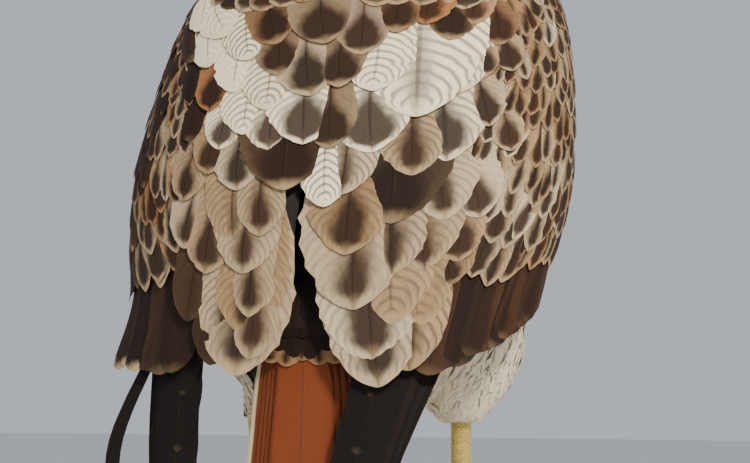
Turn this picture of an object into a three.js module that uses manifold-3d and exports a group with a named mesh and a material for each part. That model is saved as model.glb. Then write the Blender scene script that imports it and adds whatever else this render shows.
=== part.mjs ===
// A life-size red-tailed hawk, perched upright on a short length of branch that a plain display
// stand holds up. Millimetres, +Z up. The bird faces -Y, so its left side is at +X.
// The origin is the centre of the stand's underside. The bird is modelled in a frame of its own,
// whose origin is the top of the perch under the feet.
import * as THREE from "three";
import { mergeVertices } from "three/addons/utils/BufferGeometryUtils.js";
import Module from "manifold-3d";

const wasm = await Module();
wasm.setup();

// Driving sizes
const GAP = 0.35; // between nodes that touch
const PERCH_TOP = 165; // height of the perch's top above the floor
const PERCH_Y = -10; // the perch stands a little ahead of the base's centre, under the bird's weight
const FEET_Y = 12; // the perch's middle in the bird's own frame
const PERCH_RADIUS = 19;
const PERCH_LENGTH = 214;
const BASE_WIDTH = 236;
const BASE_DEPTH = 196;
const BASE_HEIGHT = 16;
const BASE_CORNER = 22;
const ROD_RADIUS = 4;
const ROD_X = 92;

const CROWN_Z = 389; // top of the head above the perch
const NECK_CUT_Z = 327; // where the head leaves the neck
const TORSO_CUT_Z = 300; // where the neck leaves the torso
// Each leg's distance from the midline: the bird stands with its left leg a little further in
const FOOT_X = { left: 48, right: 52 };
const ANKLE = { left: [49, 34, 84], right: [57, 34, 84] };
const SHANK_TOP = 71.6; // where the bare shank meets the feathered leg
const FOOT_TOP = 13; // where the shank meets the foot
const TAIL_TIP_Z = -137;

// Trunk and neck, in level sections: half width a, and the y of the breast, the widest point and the back
const TRUNK = [
  { z: 62, a: 18, front: 54, mid: 74, back: 90 },
  { z: 80, a: 35, front: 28, mid: 66, back: 99 },
  { z: 107, a: 61, front: -10, mid: 52, back: 103 },
  { z: 140, a: 80, front: -42, mid: 34, back: 99 },
  { z: 175, a: 88, front: -64, mid: 18, back: 91 },
  { z: 210, a: 90, front: -78, mid: 4, back: 78 },
  { z: 240, a: 86, front: -84, mid: -8, back: 58 },
  { z: 265, a: 77, front: -84, mid: -18, back: 41 },
  { z: 285, a: 68, front: -80, mid: -24, back: 30 },
  { z: 302, a: 56, front: -74, mid: -29, back: 17 },
  { z: 318, a: 46, front: -69, mid: -32, back: 9 },
  { z: 335, a: 39, front: -65, mid: -33, back: 4 },
  { z: 350, a: 35, front: -58, mid: -33, back: 1 },
  { z: 364, a: 26, front: -48, mid: -33, back: -6 },
];

// The outer surface of the folded wings, which their feathers follow, in the same kind of sections
const MANTLE = [
  { z: -110, a: 70, front: 40, mid: 128, back: 146 },
  { z: -60, a: 80, front: 32, mid: 119, back: 138 },
  { z: 0, a: 90, front: 26, mid: 106, back: 129 },
  { z: 60, a: 97, front: 20, mid: 90, back: 121 },
  { z: 94, a: 100, front: 12, mid: 76, back: 118 },
  { z: 107, a: 101, front: 8, mid: 70, back: 117 },
  { z: 132, a: 104, front: -4, mid: 58, back: 115 },
  { z: 152, a: 107, front: -14, mid: 49, back: 112 },
  { z: 175, a: 110, front: -26, mid: 38, back: 106 },
  { z: 197, a: 111, front: -38, mid: 28, back: 98 },
  { z: 232, a: 107, front: -60, mid: 11, back: 80 },
  { z: 252, a: 103, front: -68, mid: 2, back: 68 },
  { z: 270, a: 98, front: -72, mid: -6, back: 57 },
  { z: 286, a: 90, front: -72, mid: -13, back: 45 },
  { z: 300, a: 73, front: -70, mid: -20, back: 33 },
  { z: 312, a: 54, front: -66, mid: -26, back: 20 },
];

// Edges of the wing's mass: how far its inner edge lies from the midline, and how far round to the
// front its leading edge reaches, as an angle from the back
const WING_EDGES = [
  { z: 112, inner: 17, lead: 86 },
  { z: 132, inner: 9, lead: 94 },
  { z: 165, inner: 5, lead: 106 },
  { z: 200, inner: 3, lead: 117 },
  { z: 240, inner: 2.5, lead: 126 },
  { z: 270, inner: 3, lead: 124 },
  { z: 292, inner: 5, lead: 108 },
  { z: 306, inner: 9, lead: 78 },
];

const RAD = Math.PI / 180;

const mix = THREE.MathUtils.lerp;

// Smooth value of every size in a table of stations at height z
function at(stations, z) {
  const last = stations.length - 1;
  let i = 0;
  while (i < last - 1 && z > stations[i + 1].z) {
    i += 1;
  }
  const [p, q] = [stations[i], stations[i + 1]];
  const before = stations[Math.max(i - 1, 0)];
  const after = stations[Math.min(i + 2, last)];
  const span = q.z - p.z;
  const t = (z - p.z) / span;
  const found = {};
  for (const key of Object.keys(p)) {
    const slopeP = ((q[key] - before[key]) / (q.z - before.z)) * span;
    const slopeQ = ((after[key] - p[key]) / (after.z - p.z)) * span;
    const inside = t >= 0 && t <= 1;
    const h = inside
      ? (2 * t ** 3 - 3 * t ** 2 + 1) * p[key] +
        (t ** 3 - 2 * t ** 2 + t) * slopeP +
        (3 * t ** 2 - 2 * t ** 3) * q[key] +
        (t ** 3 - t ** 2) * slopeQ
      : mix(p[key], q[key], t);
    found[key] = h;
  }
  return found;
}

// A point of a level section, at an angle from the middle of the back
function sectionPoint(s, angle, z, grow = 0) {
  const deep = Math.cos(angle) > 0 ? s.back - s.mid : s.mid - s.front;
  return new THREE.Vector3(
    (s.a + grow) * Math.sin(angle),
    s.mid + (deep + grow) * Math.cos(angle),
    z,
  );
}

// A closed solid from points and triangles, turned to face out
function solidOf(points, triangles) {
  const geometry = new THREE.BufferGeometry().setFromPoints(points);
  geometry.setIndex(triangles);
  const merged = mergeVertices(geometry, 1e-4);
  const build = (order) =>
    new wasm.Manifold(
      new wasm.Mesh({
        numProp: 3,
        vertProperties: merged.attributes.position.array,
        triVerts: new Uint32Array(order),
      }),
    );
  const order = Array.from(merged.index.array);
  const made = build(order);
  return made.volume() > 0 ? made : build(order.reverse());
}

// A solid from a three.js geometry, set in place by a matrix
function solidFrom(geometry, matrix = new THREE.Matrix4()) {
  const plain = geometry.index ? geometry.toNonIndexed() : geometry;
  const at3 = plain.getAttribute("position");
  const points = [];
  for (let i = 0; i < at3.count; i += 1) {
    points.push(new THREE.Vector3().fromBufferAttribute(at3, i).applyMatrix4(matrix));
  }
  return solidOf(points, [...points.keys()]);
}

// A skin over rings of equal count, closed by a fan at each end
function loft(rings) {
  const count = rings[0].length;
  const points = rings.flat();
  const triangles = [];
  for (let r = 0; r < rings.length - 1; r += 1) {
    for (let i = 0; i < count; i += 1) {
      const j = (i + 1) % count;
      const [a, b] = [r * count + i, r * count + j];
      const [c, d] = [a + count, b + count];
      triangles.push(a, b, d, a, d, c);
    }
  }
  for (const [ring, flip] of [[0, true], [rings.length - 1, false]]) {
    const middle = new THREE.Vector3();
    rings[ring].forEach((p) => middle.addScaledVector(p, 1 / count));
    points.push(middle);
    for (let i = 0; i < count; i += 1) {
      const [a, b] = [ring * count + i, ring * count + ((i + 1) % count)];
      const face = flip ? [points.length - 1, b, a] : [points.length - 1, a, b];
      triangles.push(...face);
    }
  }
  return solidOf(points, triangles);
}

// A plate between two grids of points, split into triangles alike on both faces
function plate(top, bottom) {
  const rows = top.length;
  const columns = top[0].length;
  const points = [...top.flat(), ...bottom.flat()];
  const under = rows * columns;
  const triangles = [];
  for (let r = 0; r < rows - 1; r += 1) {
    for (let c = 0; c < columns - 1; c += 1) {
      const [a, b] = [r * columns + c, r * columns + c + 1];
      const [d, e] = [a + columns, b + columns];
      triangles.push(a, b, e, a, e, d);
      triangles.push(under + a, under + e, under + b, under + a, under + d, under + e);
    }
  }
  const rim = [];
  for (let c = 0; c < columns - 1; c += 1) rim.push(c);
  for (let r = 0; r < rows - 1; r += 1) rim.push(r * columns + columns - 1);
  for (let c = columns - 1; c > 0; c -= 1) rim.push((rows - 1) * columns + c);
  for (let r = rows - 1; r > 0; r -= 1) rim.push(r * columns);
  rim.forEach((a, i) => {
    const b = rim[(i + 1) % rim.length];
    triangles.push(b, a, under + a, b, under + a, under + b);
  });
  return solidOf(points, triangles);
}

// A block that holds everything between two heights
function layer(low, high) {
  const geometry = new THREE.BoxGeometry(900, 900, high - low);
  return solidFrom(geometry, new THREE.Matrix4().makeTranslation(0, 0, (low + high) / 2));
}

// A tube with oval rings along points; each ring has a half width (across x) and a half height.
// Grown, it is larger all over and longer at both ends, to cut room for itself.
function limb(path, sides = 8, grow = 0) {
  const last = path.length - 1;
  const rings = path.map(({ p, across, along }, i) => {
    const tangent = path[Math.min(i + 1, last)].p.clone().sub(path[Math.max(i - 1, 0)].p).normalize();
    const side = new THREE.Vector3(1, 0, 0);
    side.addScaledVector(tangent, -side.dot(tangent)).normalize();
    const up = new THREE.Vector3().crossVectors(side, tangent);
    const shift = i === 0 ? -grow : i === last ? grow : 0;
    const centre = p.clone().addScaledVector(tangent, shift);
    return Array.from({ length: sides }, (_, k) => {
      const turn = ((k + 0.5) / sides) * 2 * Math.PI;
      return centre
        .clone()
        .addScaledVector(side, (across + grow) * Math.cos(turn))
        .addScaledVector(up, (along + grow) * Math.sin(turn));
    });
  });
  return loft(rings);
}

// A tube whose rings are given as [x, y, z, half width, half height], on one side of the body
function tube(spots, side = 1, sides = 8, grow = 0) {
  const path = spots.map(([x, y, z, across, along]) => ({
    p: new THREE.Vector3(side * x, y, z),
    across,
    along,
  }));
  return limb(path, sides, grow);
}

// Trunk, neck and head

const TRUNK_SIDES = 20;

function trunk(grow = 0) {
  const rings = [];
  const levels = [62, 80, 98, 118, 140, 162, 186, 210, 232, 252, 270, 285, 300, 314, 327, 340, 352, 364];
  for (const z of levels) {
    const section = at(TRUNK, z);
    const ring = [];
    for (let i = 0; i < TRUNK_SIDES; i += 1) {
      ring.push(sectionPoint(section, (i / TRUNK_SIDES) * 2 * Math.PI, z, grow));
    }
    rings.push(ring);
  }
  return loft(rings);
}

const HEAD = {
  centre: new THREE.Vector3(0, -35, 355),
  side: 33.5,
  face: 34,
  nape: 37,
  up: CROWN_Z - 355,
  down: 29,
};
const EYE = { x: 24.2, y: -50.5, z: 360.5, radius: 8.8 };

// How far the head's surface lies from its centre: a rounded box with a flat crown, full cheeks,
// a hollow before the eye and a blunt face
function headRadius(direction) {
  const { x, y, z } = direction;
  const boxy = 2.35;
  const long = y < 0 ? HEAD.face : HEAD.nape;
  const tall = z > 0 ? HEAD.up : HEAD.down;
  const sum =
    Math.abs(x / HEAD.side) ** boxy + Math.abs(y / long) ** boxy + Math.abs(z / tall) ** boxy;
  let radius = sum ** (-1 / boxy);
  const bump = (bx, by, bz, spread, high) => {
    const towards = new THREE.Vector3(bx, by, bz).normalize();
    const apart = Math.acos(Math.min(1, towards.dot(new THREE.Vector3(Math.abs(x), y, z))));
    radius += high * Math.exp(-((apart / spread) ** 2));
  };
  bump(0.78, -0.3, -0.42, 0.42, 2.2); // cheek
  bump(0.5, -0.86, 0.02, 0.3, -3.2); // hollow before the eye
  bump(0, -0.2, 0.98, 0.6, -2.6); // flat crown
  bump(0, -0.8, 0.6, 0.35, -1.5); // forehead
  bump(0, -1, -0.1, 0.35, 2.4); // face, where the bill grows
  return radius;
}

function skull() {
  const geometry = new THREE.SphereGeometry(1, 20, 14);
  geometry.rotateX(Math.PI / 2);
  const place = geometry.getAttribute("position");
  for (let i = 0; i < place.count; i += 1) {
    const direction = new THREE.Vector3().fromBufferAttribute(place, i).normalize();
    const point = direction.clone().multiplyScalar(headRadius(direction)).add(HEAD.centre);
    place.setXYZ(i, point.x, point.y, point.z);
  }
  return solidFrom(geometry);
}

function ball(centre, radius, across = 14, down = 10) {
  const geometry = new THREE.SphereGeometry(radius, across, down);
  return solidFrom(geometry, new THREE.Matrix4().makeTranslation(...centre));
}

// The brow: a bony shelf over the eye that slants down to the bill
const BROW = [
  [19, -64, 362.5, 2.2, 1.8],
  [24.5, -59, 367, 3.4, 2.4],
  [28.4, -51.5, 370, 3.8, 2.6],
  [29.8, -43, 371, 3.2, 2.6],
  [29, -34, 370, 1.8, 1.6],
];

// A lid: a soft rim round the front of the eye
function lid(side) {
  const rim = new THREE.TorusGeometry(EYE.radius - 1.2, 1.7, 5, 14);
  const out = new THREE.Vector3(side * 0.9, -0.42, 0.08).normalize();
  const turn = new THREE.Quaternion().setFromUnitVectors(new THREE.Vector3(0, 0, 1), out);
  const centre = new THREE.Vector3(side * EYE.x, EYE.y, EYE.z).addScaledVector(out, 4.6);
  return solidFrom(rim, new THREE.Matrix4().compose(centre, turn, new THREE.Vector3(1, 1, 1)));
}

// Bill and cere, from the face forward. The mouth's line parts the upper half from the lower.
const MOUTH_Z = 343.8;
const CERE = [
  [0, -57, 352.8, 10.6, 10.4],
  [0, -64.5, 352.8, 9.6, 10.2],
  [0, -71.5, 352, 8.7, 9.6],
];
const BILL_UPPER = [
  [0, -70.6, 352, 8.4, 9.3],
  [0, -77, 351.4, 7.7, 8.7],
  [0, -82.5, 349.2, 6.4, 7.6],
  [0, -87, 345.4, 4.8, 5.9],
  [0, -90, 340.5, 3.2, 4.1],
  [0, -91, 335.8, 1.8, 2.3],
  [0, -90.4, 332, 0.5, 0.5],
];
const BILL_LOWER = [
  [0, -56, 340.2, 8.4, 5],
  [0, -66, 339.8, 7.6, 5],
  [0, -75, 340, 5.8, 4.3],
  [0, -82.5, 340.9, 3.6, 2.8],
];
const NOSTRIL = { x: 9.6, y: -67.5, z: 355.4, radius: 1.9 };

// Wings

// A point at height h over the mantle, at an angle from the back on one side
function mantlePoint(side, angle, z, h = 0) {
  const raw = (q, y) => {
    const p = sectionPoint(at(MANTLE, y), q, y);
    p.x *= side;
    return p;
  };
  const p = raw(angle, z);
  const dAngle = raw(angle + 0.01, z).sub(raw(angle - 0.01, z));
  const dZ = raw(angle, z + 0.5).sub(raw(angle, z - 0.5));
  const normal = new THREE.Vector3().crossVectors(dAngle, dZ).normalize();
  if (normal.dot(new THREE.Vector3(p.x, p.y - at(MANTLE, z).mid, 0)) < 0) {
    normal.negate();
  }
  return p.addScaledVector(normal, h);
}

// The angle at which the mantle is a given distance from the midline
function angleAt(x, z) {
  return Math.asin(Math.min(0.999, x / at(MANTLE, z).a));
}

const WING_SKIN = -3; // the wing's own mass stays this far inside its feathers
const WING_COLUMNS = 6;
const RAISED = 24; // the right wing's lower edge rises this much outwards, off the flank

// How far the lead edge of a wing's lower part is drawn back, in degrees
function drawnBack(side, z) {
  return side > 0 ? 0 : 24 * (1 - THREE.MathUtils.smoothstep(z, 112, 150));
}

function wingMass(side) {
  const levels = [112, 134, 162, 192, 222, 250, 272, 290, 304];
  const top = [];
  const bottom = [];
  for (const z of levels) {
    const edge = at(WING_EDGES, z);
    const from = angleAt(edge.inner, z);
    const upper = [];
    const lower = [];
    for (let c = 0; c <= WING_COLUMNS; c += 1) {
      const t = c / WING_COLUMNS;
      const angle = mix(from, (edge.lead - drawnBack(side, z)) * RAD, t);
      const ends = Math.min(1, 4 * (1 - t), 1.2 - Math.abs(z - 200) / 160);
      const thick = z < 165 ? mix(6, 24, (z - 112) / 53) : 30;
      upper.push(mantlePoint(side, angle, z, WING_SKIN - 1.5 * (1 - ends)));
      lower.push(mantlePoint(side, angle, z, WING_SKIN - Math.max(3.5, thick * (0.35 + 0.65 * ends))));
    }
    top.push(upper);
    bottom.push(lower);
  }
  return plate(top, bottom);
}

// A wing's feathers lie in rows. Each row runs from its innermost feather to its outermost. A root or
// tip is an angle from the back in degrees and a height, with "lift" the height over the mantle.
const WING_ROWS = [
  { name: "lesser", count: 4, width: [33, 31], roots: [[54, 292], [96, 290]], tips: [[49, 250], [104, 244]] },
  { name: "marginal", count: 5, width: [31, 30], roots: [[46, 260], [110, 254]], tips: [[42, 220], [105, 210]] },
  { name: "median", count: 5, width: [31, 29], roots: [[44, 230], [106, 222]], tips: [[40, 186], [98, 176]] },
  { name: "greater", count: 6, width: [31, 27], roots: [[42, 198], [98, 190]], tips: [[38, 144], [87, 140]] },
  { name: "secondary", count: 5, width: [33, 30], roots: [[42, 156], [84, 152]], tips: [[38, 98], [78, 101]] },
];

const SCAPULAR_ROWS = [
  { name: "mantle", count: 2, width: [32, 34], roots: [[12, 305], [42, 303]], tips: [[11, 262], [38, 258]] },
  { name: "upper", count: 2, width: [40, 38], roots: [[13, 280], [38, 274]], tips: [[13, 228], [34, 226]] },
  { name: "middle", count: 3, width: [36, 33], roots: [[11, 246], [40, 240]], tips: [[10.5, 192], [35, 188]] },
  { name: "lower", count: 3, width: [38, 34], roots: [[11, 210], [38, 204]], tips: [[11, 152], [32, 150]] },
  { name: "tertial", count: 2, width: [40, 38], roots: [[13, 176], [29, 170]], tips: [[16.5, 94], [32, 92]] },
];

// A feather's outline from root to tip: how far along, and how wide there
const VANE_SHAPE = [
  [0, 0.5],
  [0.45, 0.96],
  [0.84, 0.84],
  [1, 0.3],
];

// One vane on a surface. "place" turns surface coordinates and a lift into a point, and "path" gives
// those three for any part of the way from root to tip. "roll" tips the vane sideways, so that one
// edge slides under the next feather.
function vane(place, path, width, thick, roll, shape = VANE_SHAPE) {
  const top = [];
  const bottom = [];
  for (const [t, wide] of shape) {
    const [u, v, lift] = path(t);
    const centre = place(u, v, lift);
    const alongU = place(u + 0.01, v, lift).sub(centre).multiplyScalar(100);
    const alongV = place(u, v + 0.01, lift).sub(centre).multiplyScalar(100);
    const normal = place(u, v, lift + 1).sub(centre).normalize();
    const ahead = place(...path(Math.min(1, t + 0.02)));
    const behind = place(...path(Math.max(0, t - 0.02)));
    const across = new THREE.Vector3().crossVectors(normal, ahead.sub(behind)).normalize();
    const stepU = across.dot(alongU) / alongU.lengthSq();
    const stepV = across.dot(alongV) / alongV.lengthSq();
    const half = (width / 2) * wide;
    const row = (depth) =>
      [-1, 0, 1].map((c) => {
        const out = c * half;
        return place(u + out * stepU, v + out * stepV, lift + out * roll - depth);
      });
    top.push(row(0));
    bottom.push(row(thick));
  }
  return plate(top, bottom);
}

// The left wing hangs a little further out from the tail than the right one does
function onMantle(side) {
  return (angle, z, h) => {
    const p = mantlePoint(side, angle, z, h);
    const droop = side > 0 ? 12 * THREE.MathUtils.smoothstep(140 - z, 0, 60) : 0;
    p.x += droop * Math.sin(angle);
    return p;
  };
}

// Coverts, scapulars and secondaries: shingles whose roots are sunk in the wing's mass
function shingles(side, rows, tipLift) {
  const made = [];
  for (const { name, count, width, roots, tips } of rows) {
    for (let i = 0; i < count; i += 1) {
      const u = count > 1 ? i / (count - 1) : 0;
      const raised = side < 0 && name === "secondary" ? RAISED * u : 0;
      const root = [mix(roots[0][0], roots[1][0], u), mix(roots[0][1], roots[1][1], u)];
      const tip = [mix(tips[0][0], tips[1][0], u), mix(tips[0][1], tips[1][1], u) + raised];
      const path = (t) => [
        mix(root[0], tip[0], t) * RAD,
        mix(root[1], tip[1], t),
        mix(WING_SKIN - 1.2, tipLift, t),
      ];
      made.push(vane(onMantle(side), path, mix(width[0], width[1], u), 0.9, -side * 0.085));
    }
  }
  return made;
}

// Primaries, from the innermost and shortest, which lies on top, to the longest underneath. Their
// distance from the midline is given at the root, at the middle and at the longest tip.
const PRIMARY_COUNT = 6;
const STRAY_FEATHER_OUT = 29; // one slender feather of the left wing stands apart from the others
const PRIMARY_HEIGHTS = { root: 138, middle: 51, shortest: 34, longest: -92 };
const PRIMARY_PATHS = {
  left: { root: [62, 84], middle: [64, 75], tip: [56, 48] },
  right: { root: [52, 76], middle: [25, 34], tip: [9, 11] },
};
const PRIMARY_SHAPE = [
  [0, 0.9],
  [0.4, 1],
  [0.85, 0.75],
  [1, 0.25],
];

function throughThree(z, [z0, x0], [z1, x1], [z2, x2]) {
  return (
    (x0 * (z - z1) * (z - z2)) / ((z0 - z1) * (z0 - z2)) +
    (x1 * (z - z0) * (z - z2)) / ((z1 - z0) * (z1 - z2)) +
    (x2 * (z - z0) * (z - z1)) / ((z2 - z0) * (z2 - z1))
  );
}

function primary(side, u, tipZ, width, depth, apart = 0) {
  const { root, middle, tip } = side > 0 ? PRIMARY_PATHS.left : PRIMARY_PATHS.right;
  const { root: rootZ, middle: middleZ, longest } = PRIMARY_HEIGHTS;
  const path = (t) => {
    const z = mix(rootZ, tipZ, t);
    const x = throughThree(
      z,
      [rootZ, mix(...root, u)],
      [middleZ, mix(...middle, u)],
      [longest, mix(...tip, u)],
    );
    return [angleAt(x, z), z, depth];
  };
  const place = (angle, z, h) => {
    const p = mantlePoint(side, angle, z, h);
    p.x += side * apart * THREE.MathUtils.smoothstep(rootZ - z, 0, rootZ - middleZ);
    return p;
  };
  return vane(place, path, width, 0.7, -side * 0.01, PRIMARY_SHAPE);
}

function primaries(side) {
  const { shortest, longest } = PRIMARY_HEIGHTS;
  const made = Array.from({ length: PRIMARY_COUNT }, (_, i) => {
    const u = i / (PRIMARY_COUNT - 1);
    const tipZ = mix(shortest, longest, 1 - (1 - u) ** 1.4);
    return primary(side, u, tipZ, mix(27, 25, u), -3.6 - 1.15 * i);
  });
  if (side > 0) {
    made.push(primary(side, 0.9, 4, 13, -5.2, STRAY_FEATHER_OUT));
  }
  return made;
}

function wing(side) {
  const feathers = [
    ...shingles(side, WING_ROWS, 0.6),
    ...shingles(side, SCAPULAR_ROWS, 1.8),
    ...primaries(side),
  ];
  let made = wingMass(side);
  for (const one of feathers) {
    made = made.add(one);
  }
  const half = solidFrom(
    new THREE.BoxGeometry(400, 900, 900),
    new THREE.Matrix4().makeTranslation(side * (200 + GAP / 2), 0, 100),
  );
  return made.intersect(half);
}

// Tail

// The plane of the tail: a height on the mantle's back, and how far inside it
const TAIL_DEPTH = -13;
const TAIL_ROOT_Z = 108;
const TAIL_VANE_WIDTH = 37;
const TAIL_SHAPE = [
  [0, 0.7],
  [0.45, 0.92],
  [0.93, 0.97],
  [1, 0.5],
];

function tailPoint(x, z, h) {
  return new THREE.Vector3(x, at(MANTLE, z).back + TAIL_DEPTH + h - Math.abs(x) * 0.08, z);
}

// The root block that carries the tail's feathers, with the coverts that overlie them
function tailRoot() {
  const rows = [
    { z: 124, half: 15, thick: 10 },
    { z: 108, half: 19, thick: 10.5 },
    { z: 94, half: 22, thick: 10.5 },
  ];
  const grid = (depth) =>
    rows.map(({ z, half, thick }) =>
      [-1, -0.5, 0, 0.5, 1].map((t) => tailPoint(t * half, z, 0.2 - depth * thick)),
    );
  return plate(grid(0), grid(1));
}

// Twelve feathers in a closed fan: the middle pair on top, and each further pair lower and wider out
function tail() {
  let made = tailRoot();
  for (let pair = 0; pair < 6; pair += 1) {
    for (const side of [1, -1]) {
      const layerDepth = -0.4 - 1.15 * pair - (side > 0 ? 0 : 0.575) * (pair === 0 ? 2 : 0);
      const offset = pair === 0 ? 2 : 3 + 3.4 * pair;
      const depth = pair === 0 ? layerDepth : layerDepth - 1.15;
      const path = (t) => [
        side * offset * mix(0.7, 1, t),
        mix(TAIL_ROOT_Z, TAIL_TIP_Z + 2.2 * pair, t),
        depth,
      ];
      made = made.add(vane(tailPoint, path, TAIL_VANE_WIDTH, 0.7, 0, TAIL_SHAPE));
    }
  }
  for (const [z, x, length, width] of [
    [122, 0, 24, 26],
    [119, 11, 23, 22],
    [119, -11, 23, 22],
  ]) {
    const path = (t) => [x * mix(0.8, 1.2, t), z - length * t, mix(-1, 2.1, t) + (x ? 0 : 1.1)];
    made = made.add(vane(tailPoint, path, width, 0.8, 0));
  }
  return made;
}

// Legs and feet

// The left thigh's feathers lie close and the right one's hang loose, out past the wing
const THIGH = {
  left: [
    [44, 14, 158, 30, 34],
    [44, 20, 130, 31, 39],
    [43, 26, 108, 22, 32],
    [44, 30, 93, 12, 20],
    [48, 33, 72, 8.5, 10],
  ],
  right: [
    [46, 14, 158, 30, 34],
    [50, 20, 130, 35, 40],
    [54, 27, 106, 33, 36],
    [56, 31, 88, 25, 26],
    [57, 33, 72, 10, 11],
  ],
};

const nameOf = (side) => (side > 0 ? "left" : "right");

function tarsus(side) {
  const path = [];
  const [x, y, z] = ANKLE[nameOf(side)];
  const foot = new THREE.Vector3(side * FOOT_X[nameOf(side)], FEET_Y + 1, 13);
  const ankle = new THREE.Vector3(side * x, y, z);
  for (let i = 0; i <= 6; i += 1) {
    const t = i / 6;
    path.push({ p: foot.clone().lerp(ankle, t), across: mix(5.4, 4.8, t), along: mix(6, 6.2, t) });
  }
  return limb(path, 10).intersect(layer(FOOT_TOP + GAP, SHANK_TOP));
}

// A toe that wraps over the perch: start and end angles round it, and how far it splays
const TOES = [
  { name: "inner", start: 12, end: 92, x0: -6, x1: -15, thick: 5.4, claw: 52, clawThick: 3.5 },
  { name: "middle", start: 14, end: 118, x0: 0, x1: 0, thick: 5.2, claw: 42, clawThick: 3 },
  { name: "outer", start: 12, end: 100, x0: 6, x1: 15, thick: 4.8, claw: 38, clawThick: 2.8 },
  { name: "hind", start: -8, end: -70, x0: -2, x1: -5, thick: 5.6, claw: 56, clawThick: 3.7 },
];

function roundPerch(x, angle, out) {
  const reach = PERCH_RADIUS + GAP + out;
  return new THREE.Vector3(
    x,
    FEET_Y - reach * Math.sin(angle * RAD),
    -PERCH_RADIUS + reach * Math.cos(angle * RAD),
  );
}

function toe(side, { start, end, x0, x1, thick }, grow = 0) {
  const path = [];
  const steps = 6;
  for (let i = 0; i <= steps; i += 1) {
    const t = i / steps;
    const r = thick * mix(1, 0.78, t) * (i % 2 ? 0.93 : 1);
    const x = side * (FOOT_X[nameOf(side)] + mix(x0, x1, t));
    path.push({ p: roundPerch(x, mix(start, end, t), r), across: r, along: r });
  }
  return limb(path, 7, grow);
}

function claw(side, one) {
  const { end, x1, thick, claw: sweep, clawThick } = one;
  const path = [];
  const way = Math.sign(end);
  const steps = 5;
  const lead = 2.2 * way;
  for (let i = 0; i <= steps; i += 1) {
    const t = i / steps;
    const r = clawThick * (1 - t) ** 0.8 + 0.3;
    const rise = thick * 0.78 * (1 - t) + 1.6 * Math.sin(Math.PI * t) + 0.3;
    path.push({
      p: roundPerch(side * (FOOT_X[nameOf(side)] + x1), end + lead + way * sweep * t, rise),
      across: r * 0.8,
      along: r,
    });
  }
  return limb(path, 6).subtract(toe(side, one, GAP));
}

const SOLE = [
  [FEET_Y + 1.5, 1.2, 8.5, 8],
  [FEET_Y + 1.4, 7, 8.6, 8.4],
  [FEET_Y + 1.2, 14, 6, 6.4],
];

function foot(side) {
  const sole = SOLE.map((spot) => [FOOT_X[nameOf(side)], ...spot]);
  let made = tube(sole, side, 10);
  for (const one of TOES) {
    made = made.add(toe(side, one));
  }
  const branch = perch(GAP).translate([0, FEET_Y, -PERCH_RADIUS]);
  return made.subtract(branch).intersect(layer(-60, FOOT_TOP));
}

// Perch and stand, in the stand's own frame

function perch(grow = 0) {
  const rings = [];
  const steps = 8;
  const sides = 18;
  for (let i = 0; i <= steps; i += 1) {
    const x = mix(-PERCH_LENGTH / 2, PERCH_LENGTH / 2, i / steps) + (i ? (i === steps ? grow : 0) : -grow);
    const ring = [];
    for (let k = 0; k < sides; k += 1) {
      const turn = (k / sides) * 2 * Math.PI;
      const r = PERCH_RADIUS + grow;
      ring.push(new THREE.Vector3(x, r * Math.cos(turn), r * Math.sin(turn)));
    }
    rings.push(ring);
  }
  return loft(rings);
}

function base() {
  const shape = new THREE.Shape();
  const [w, d, r] = [BASE_WIDTH / 2, BASE_DEPTH / 2, BASE_CORNER];
  shape.moveTo(w - r, -d);
  shape.absarc(w - r, -d + r, r, -Math.PI / 2, 0);
  shape.absarc(w - r, d - r, r, 0, Math.PI / 2);
  shape.absarc(-w + r, d - r, r, Math.PI / 2, Math.PI);
  shape.absarc(-w + r, -d + r, r, Math.PI, 1.5 * Math.PI);
  const geometry = new THREE.ExtrudeGeometry(shape, {
    depth: BASE_HEIGHT,
    bevelEnabled: false,
    curveSegments: 6,
  });
  return solidFrom(geometry);
}

function rod() {
  const low = BASE_HEIGHT + GAP;
  const high = PERCH_TOP - PERCH_RADIUS;
  const geometry = new THREE.CylinderGeometry(ROD_RADIUS, ROD_RADIUS, high - low, 16);
  geometry.rotateX(Math.PI / 2);
  geometry.translate(0, 0, (low + high) / 2);
  return solidFrom(geometry);
}

// Assembly

const material = (color, roughness = 0.8, metalness = 0) =>
  new THREE.MeshStandardMaterial({ color, roughness, metalness });

const MATERIALS = {
  plumage: () => material(0x8a735c),
  pale: () => material(0xe6dcc8),
  tail: () => material(0xa2492a),
  bill: () => material(0x2b2c30, 0.4),
  skin: () => material(0xd9b93c, 0.5),
  eye: () => material(0x3a2012, 0.1),
  claw: () => material(0x1b1a1c, 0.35),
  wood: () => material(0x7b6650, 0.9),
  base: () => material(0x4a3424, 0.6),
  metal: () => material(0x9a9c9e, 0.35, 1),
};

const hawk = new THREE.Group();
hawk.position.set(0, PERCH_Y - FEET_Y, PERCH_TOP);
const stand = new THREE.Group();
const whole = new THREE.Group();
whole.add(hawk, stand);

function largest(solid) {
  const bodies = solid.decompose();
  return bodies.reduce((best, one) => (one.volume() > best.volume() ? one : best), bodies[0]);
}

function addNode(group, name, solid, surface) {
  const { vertProperties, triVerts, numProp } = largest(solid).getMesh();
  const points = [];
  for (let i = 0; i < vertProperties.length; i += numProp) {
    points.push(new THREE.Vector3(...vertProperties.subarray(i, i + 3)));
  }
  const geometry = new THREE.BufferGeometry().setFromPoints(points);
  geometry.setIndex([...triVerts]);
  geometry.computeVertexNormals();
  const mesh = new THREE.Mesh(geometry, surface);
  mesh.name = name;
  group.add(mesh);
  return mesh;
}

const SIDES = { left: 1, right: -1 };

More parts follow.
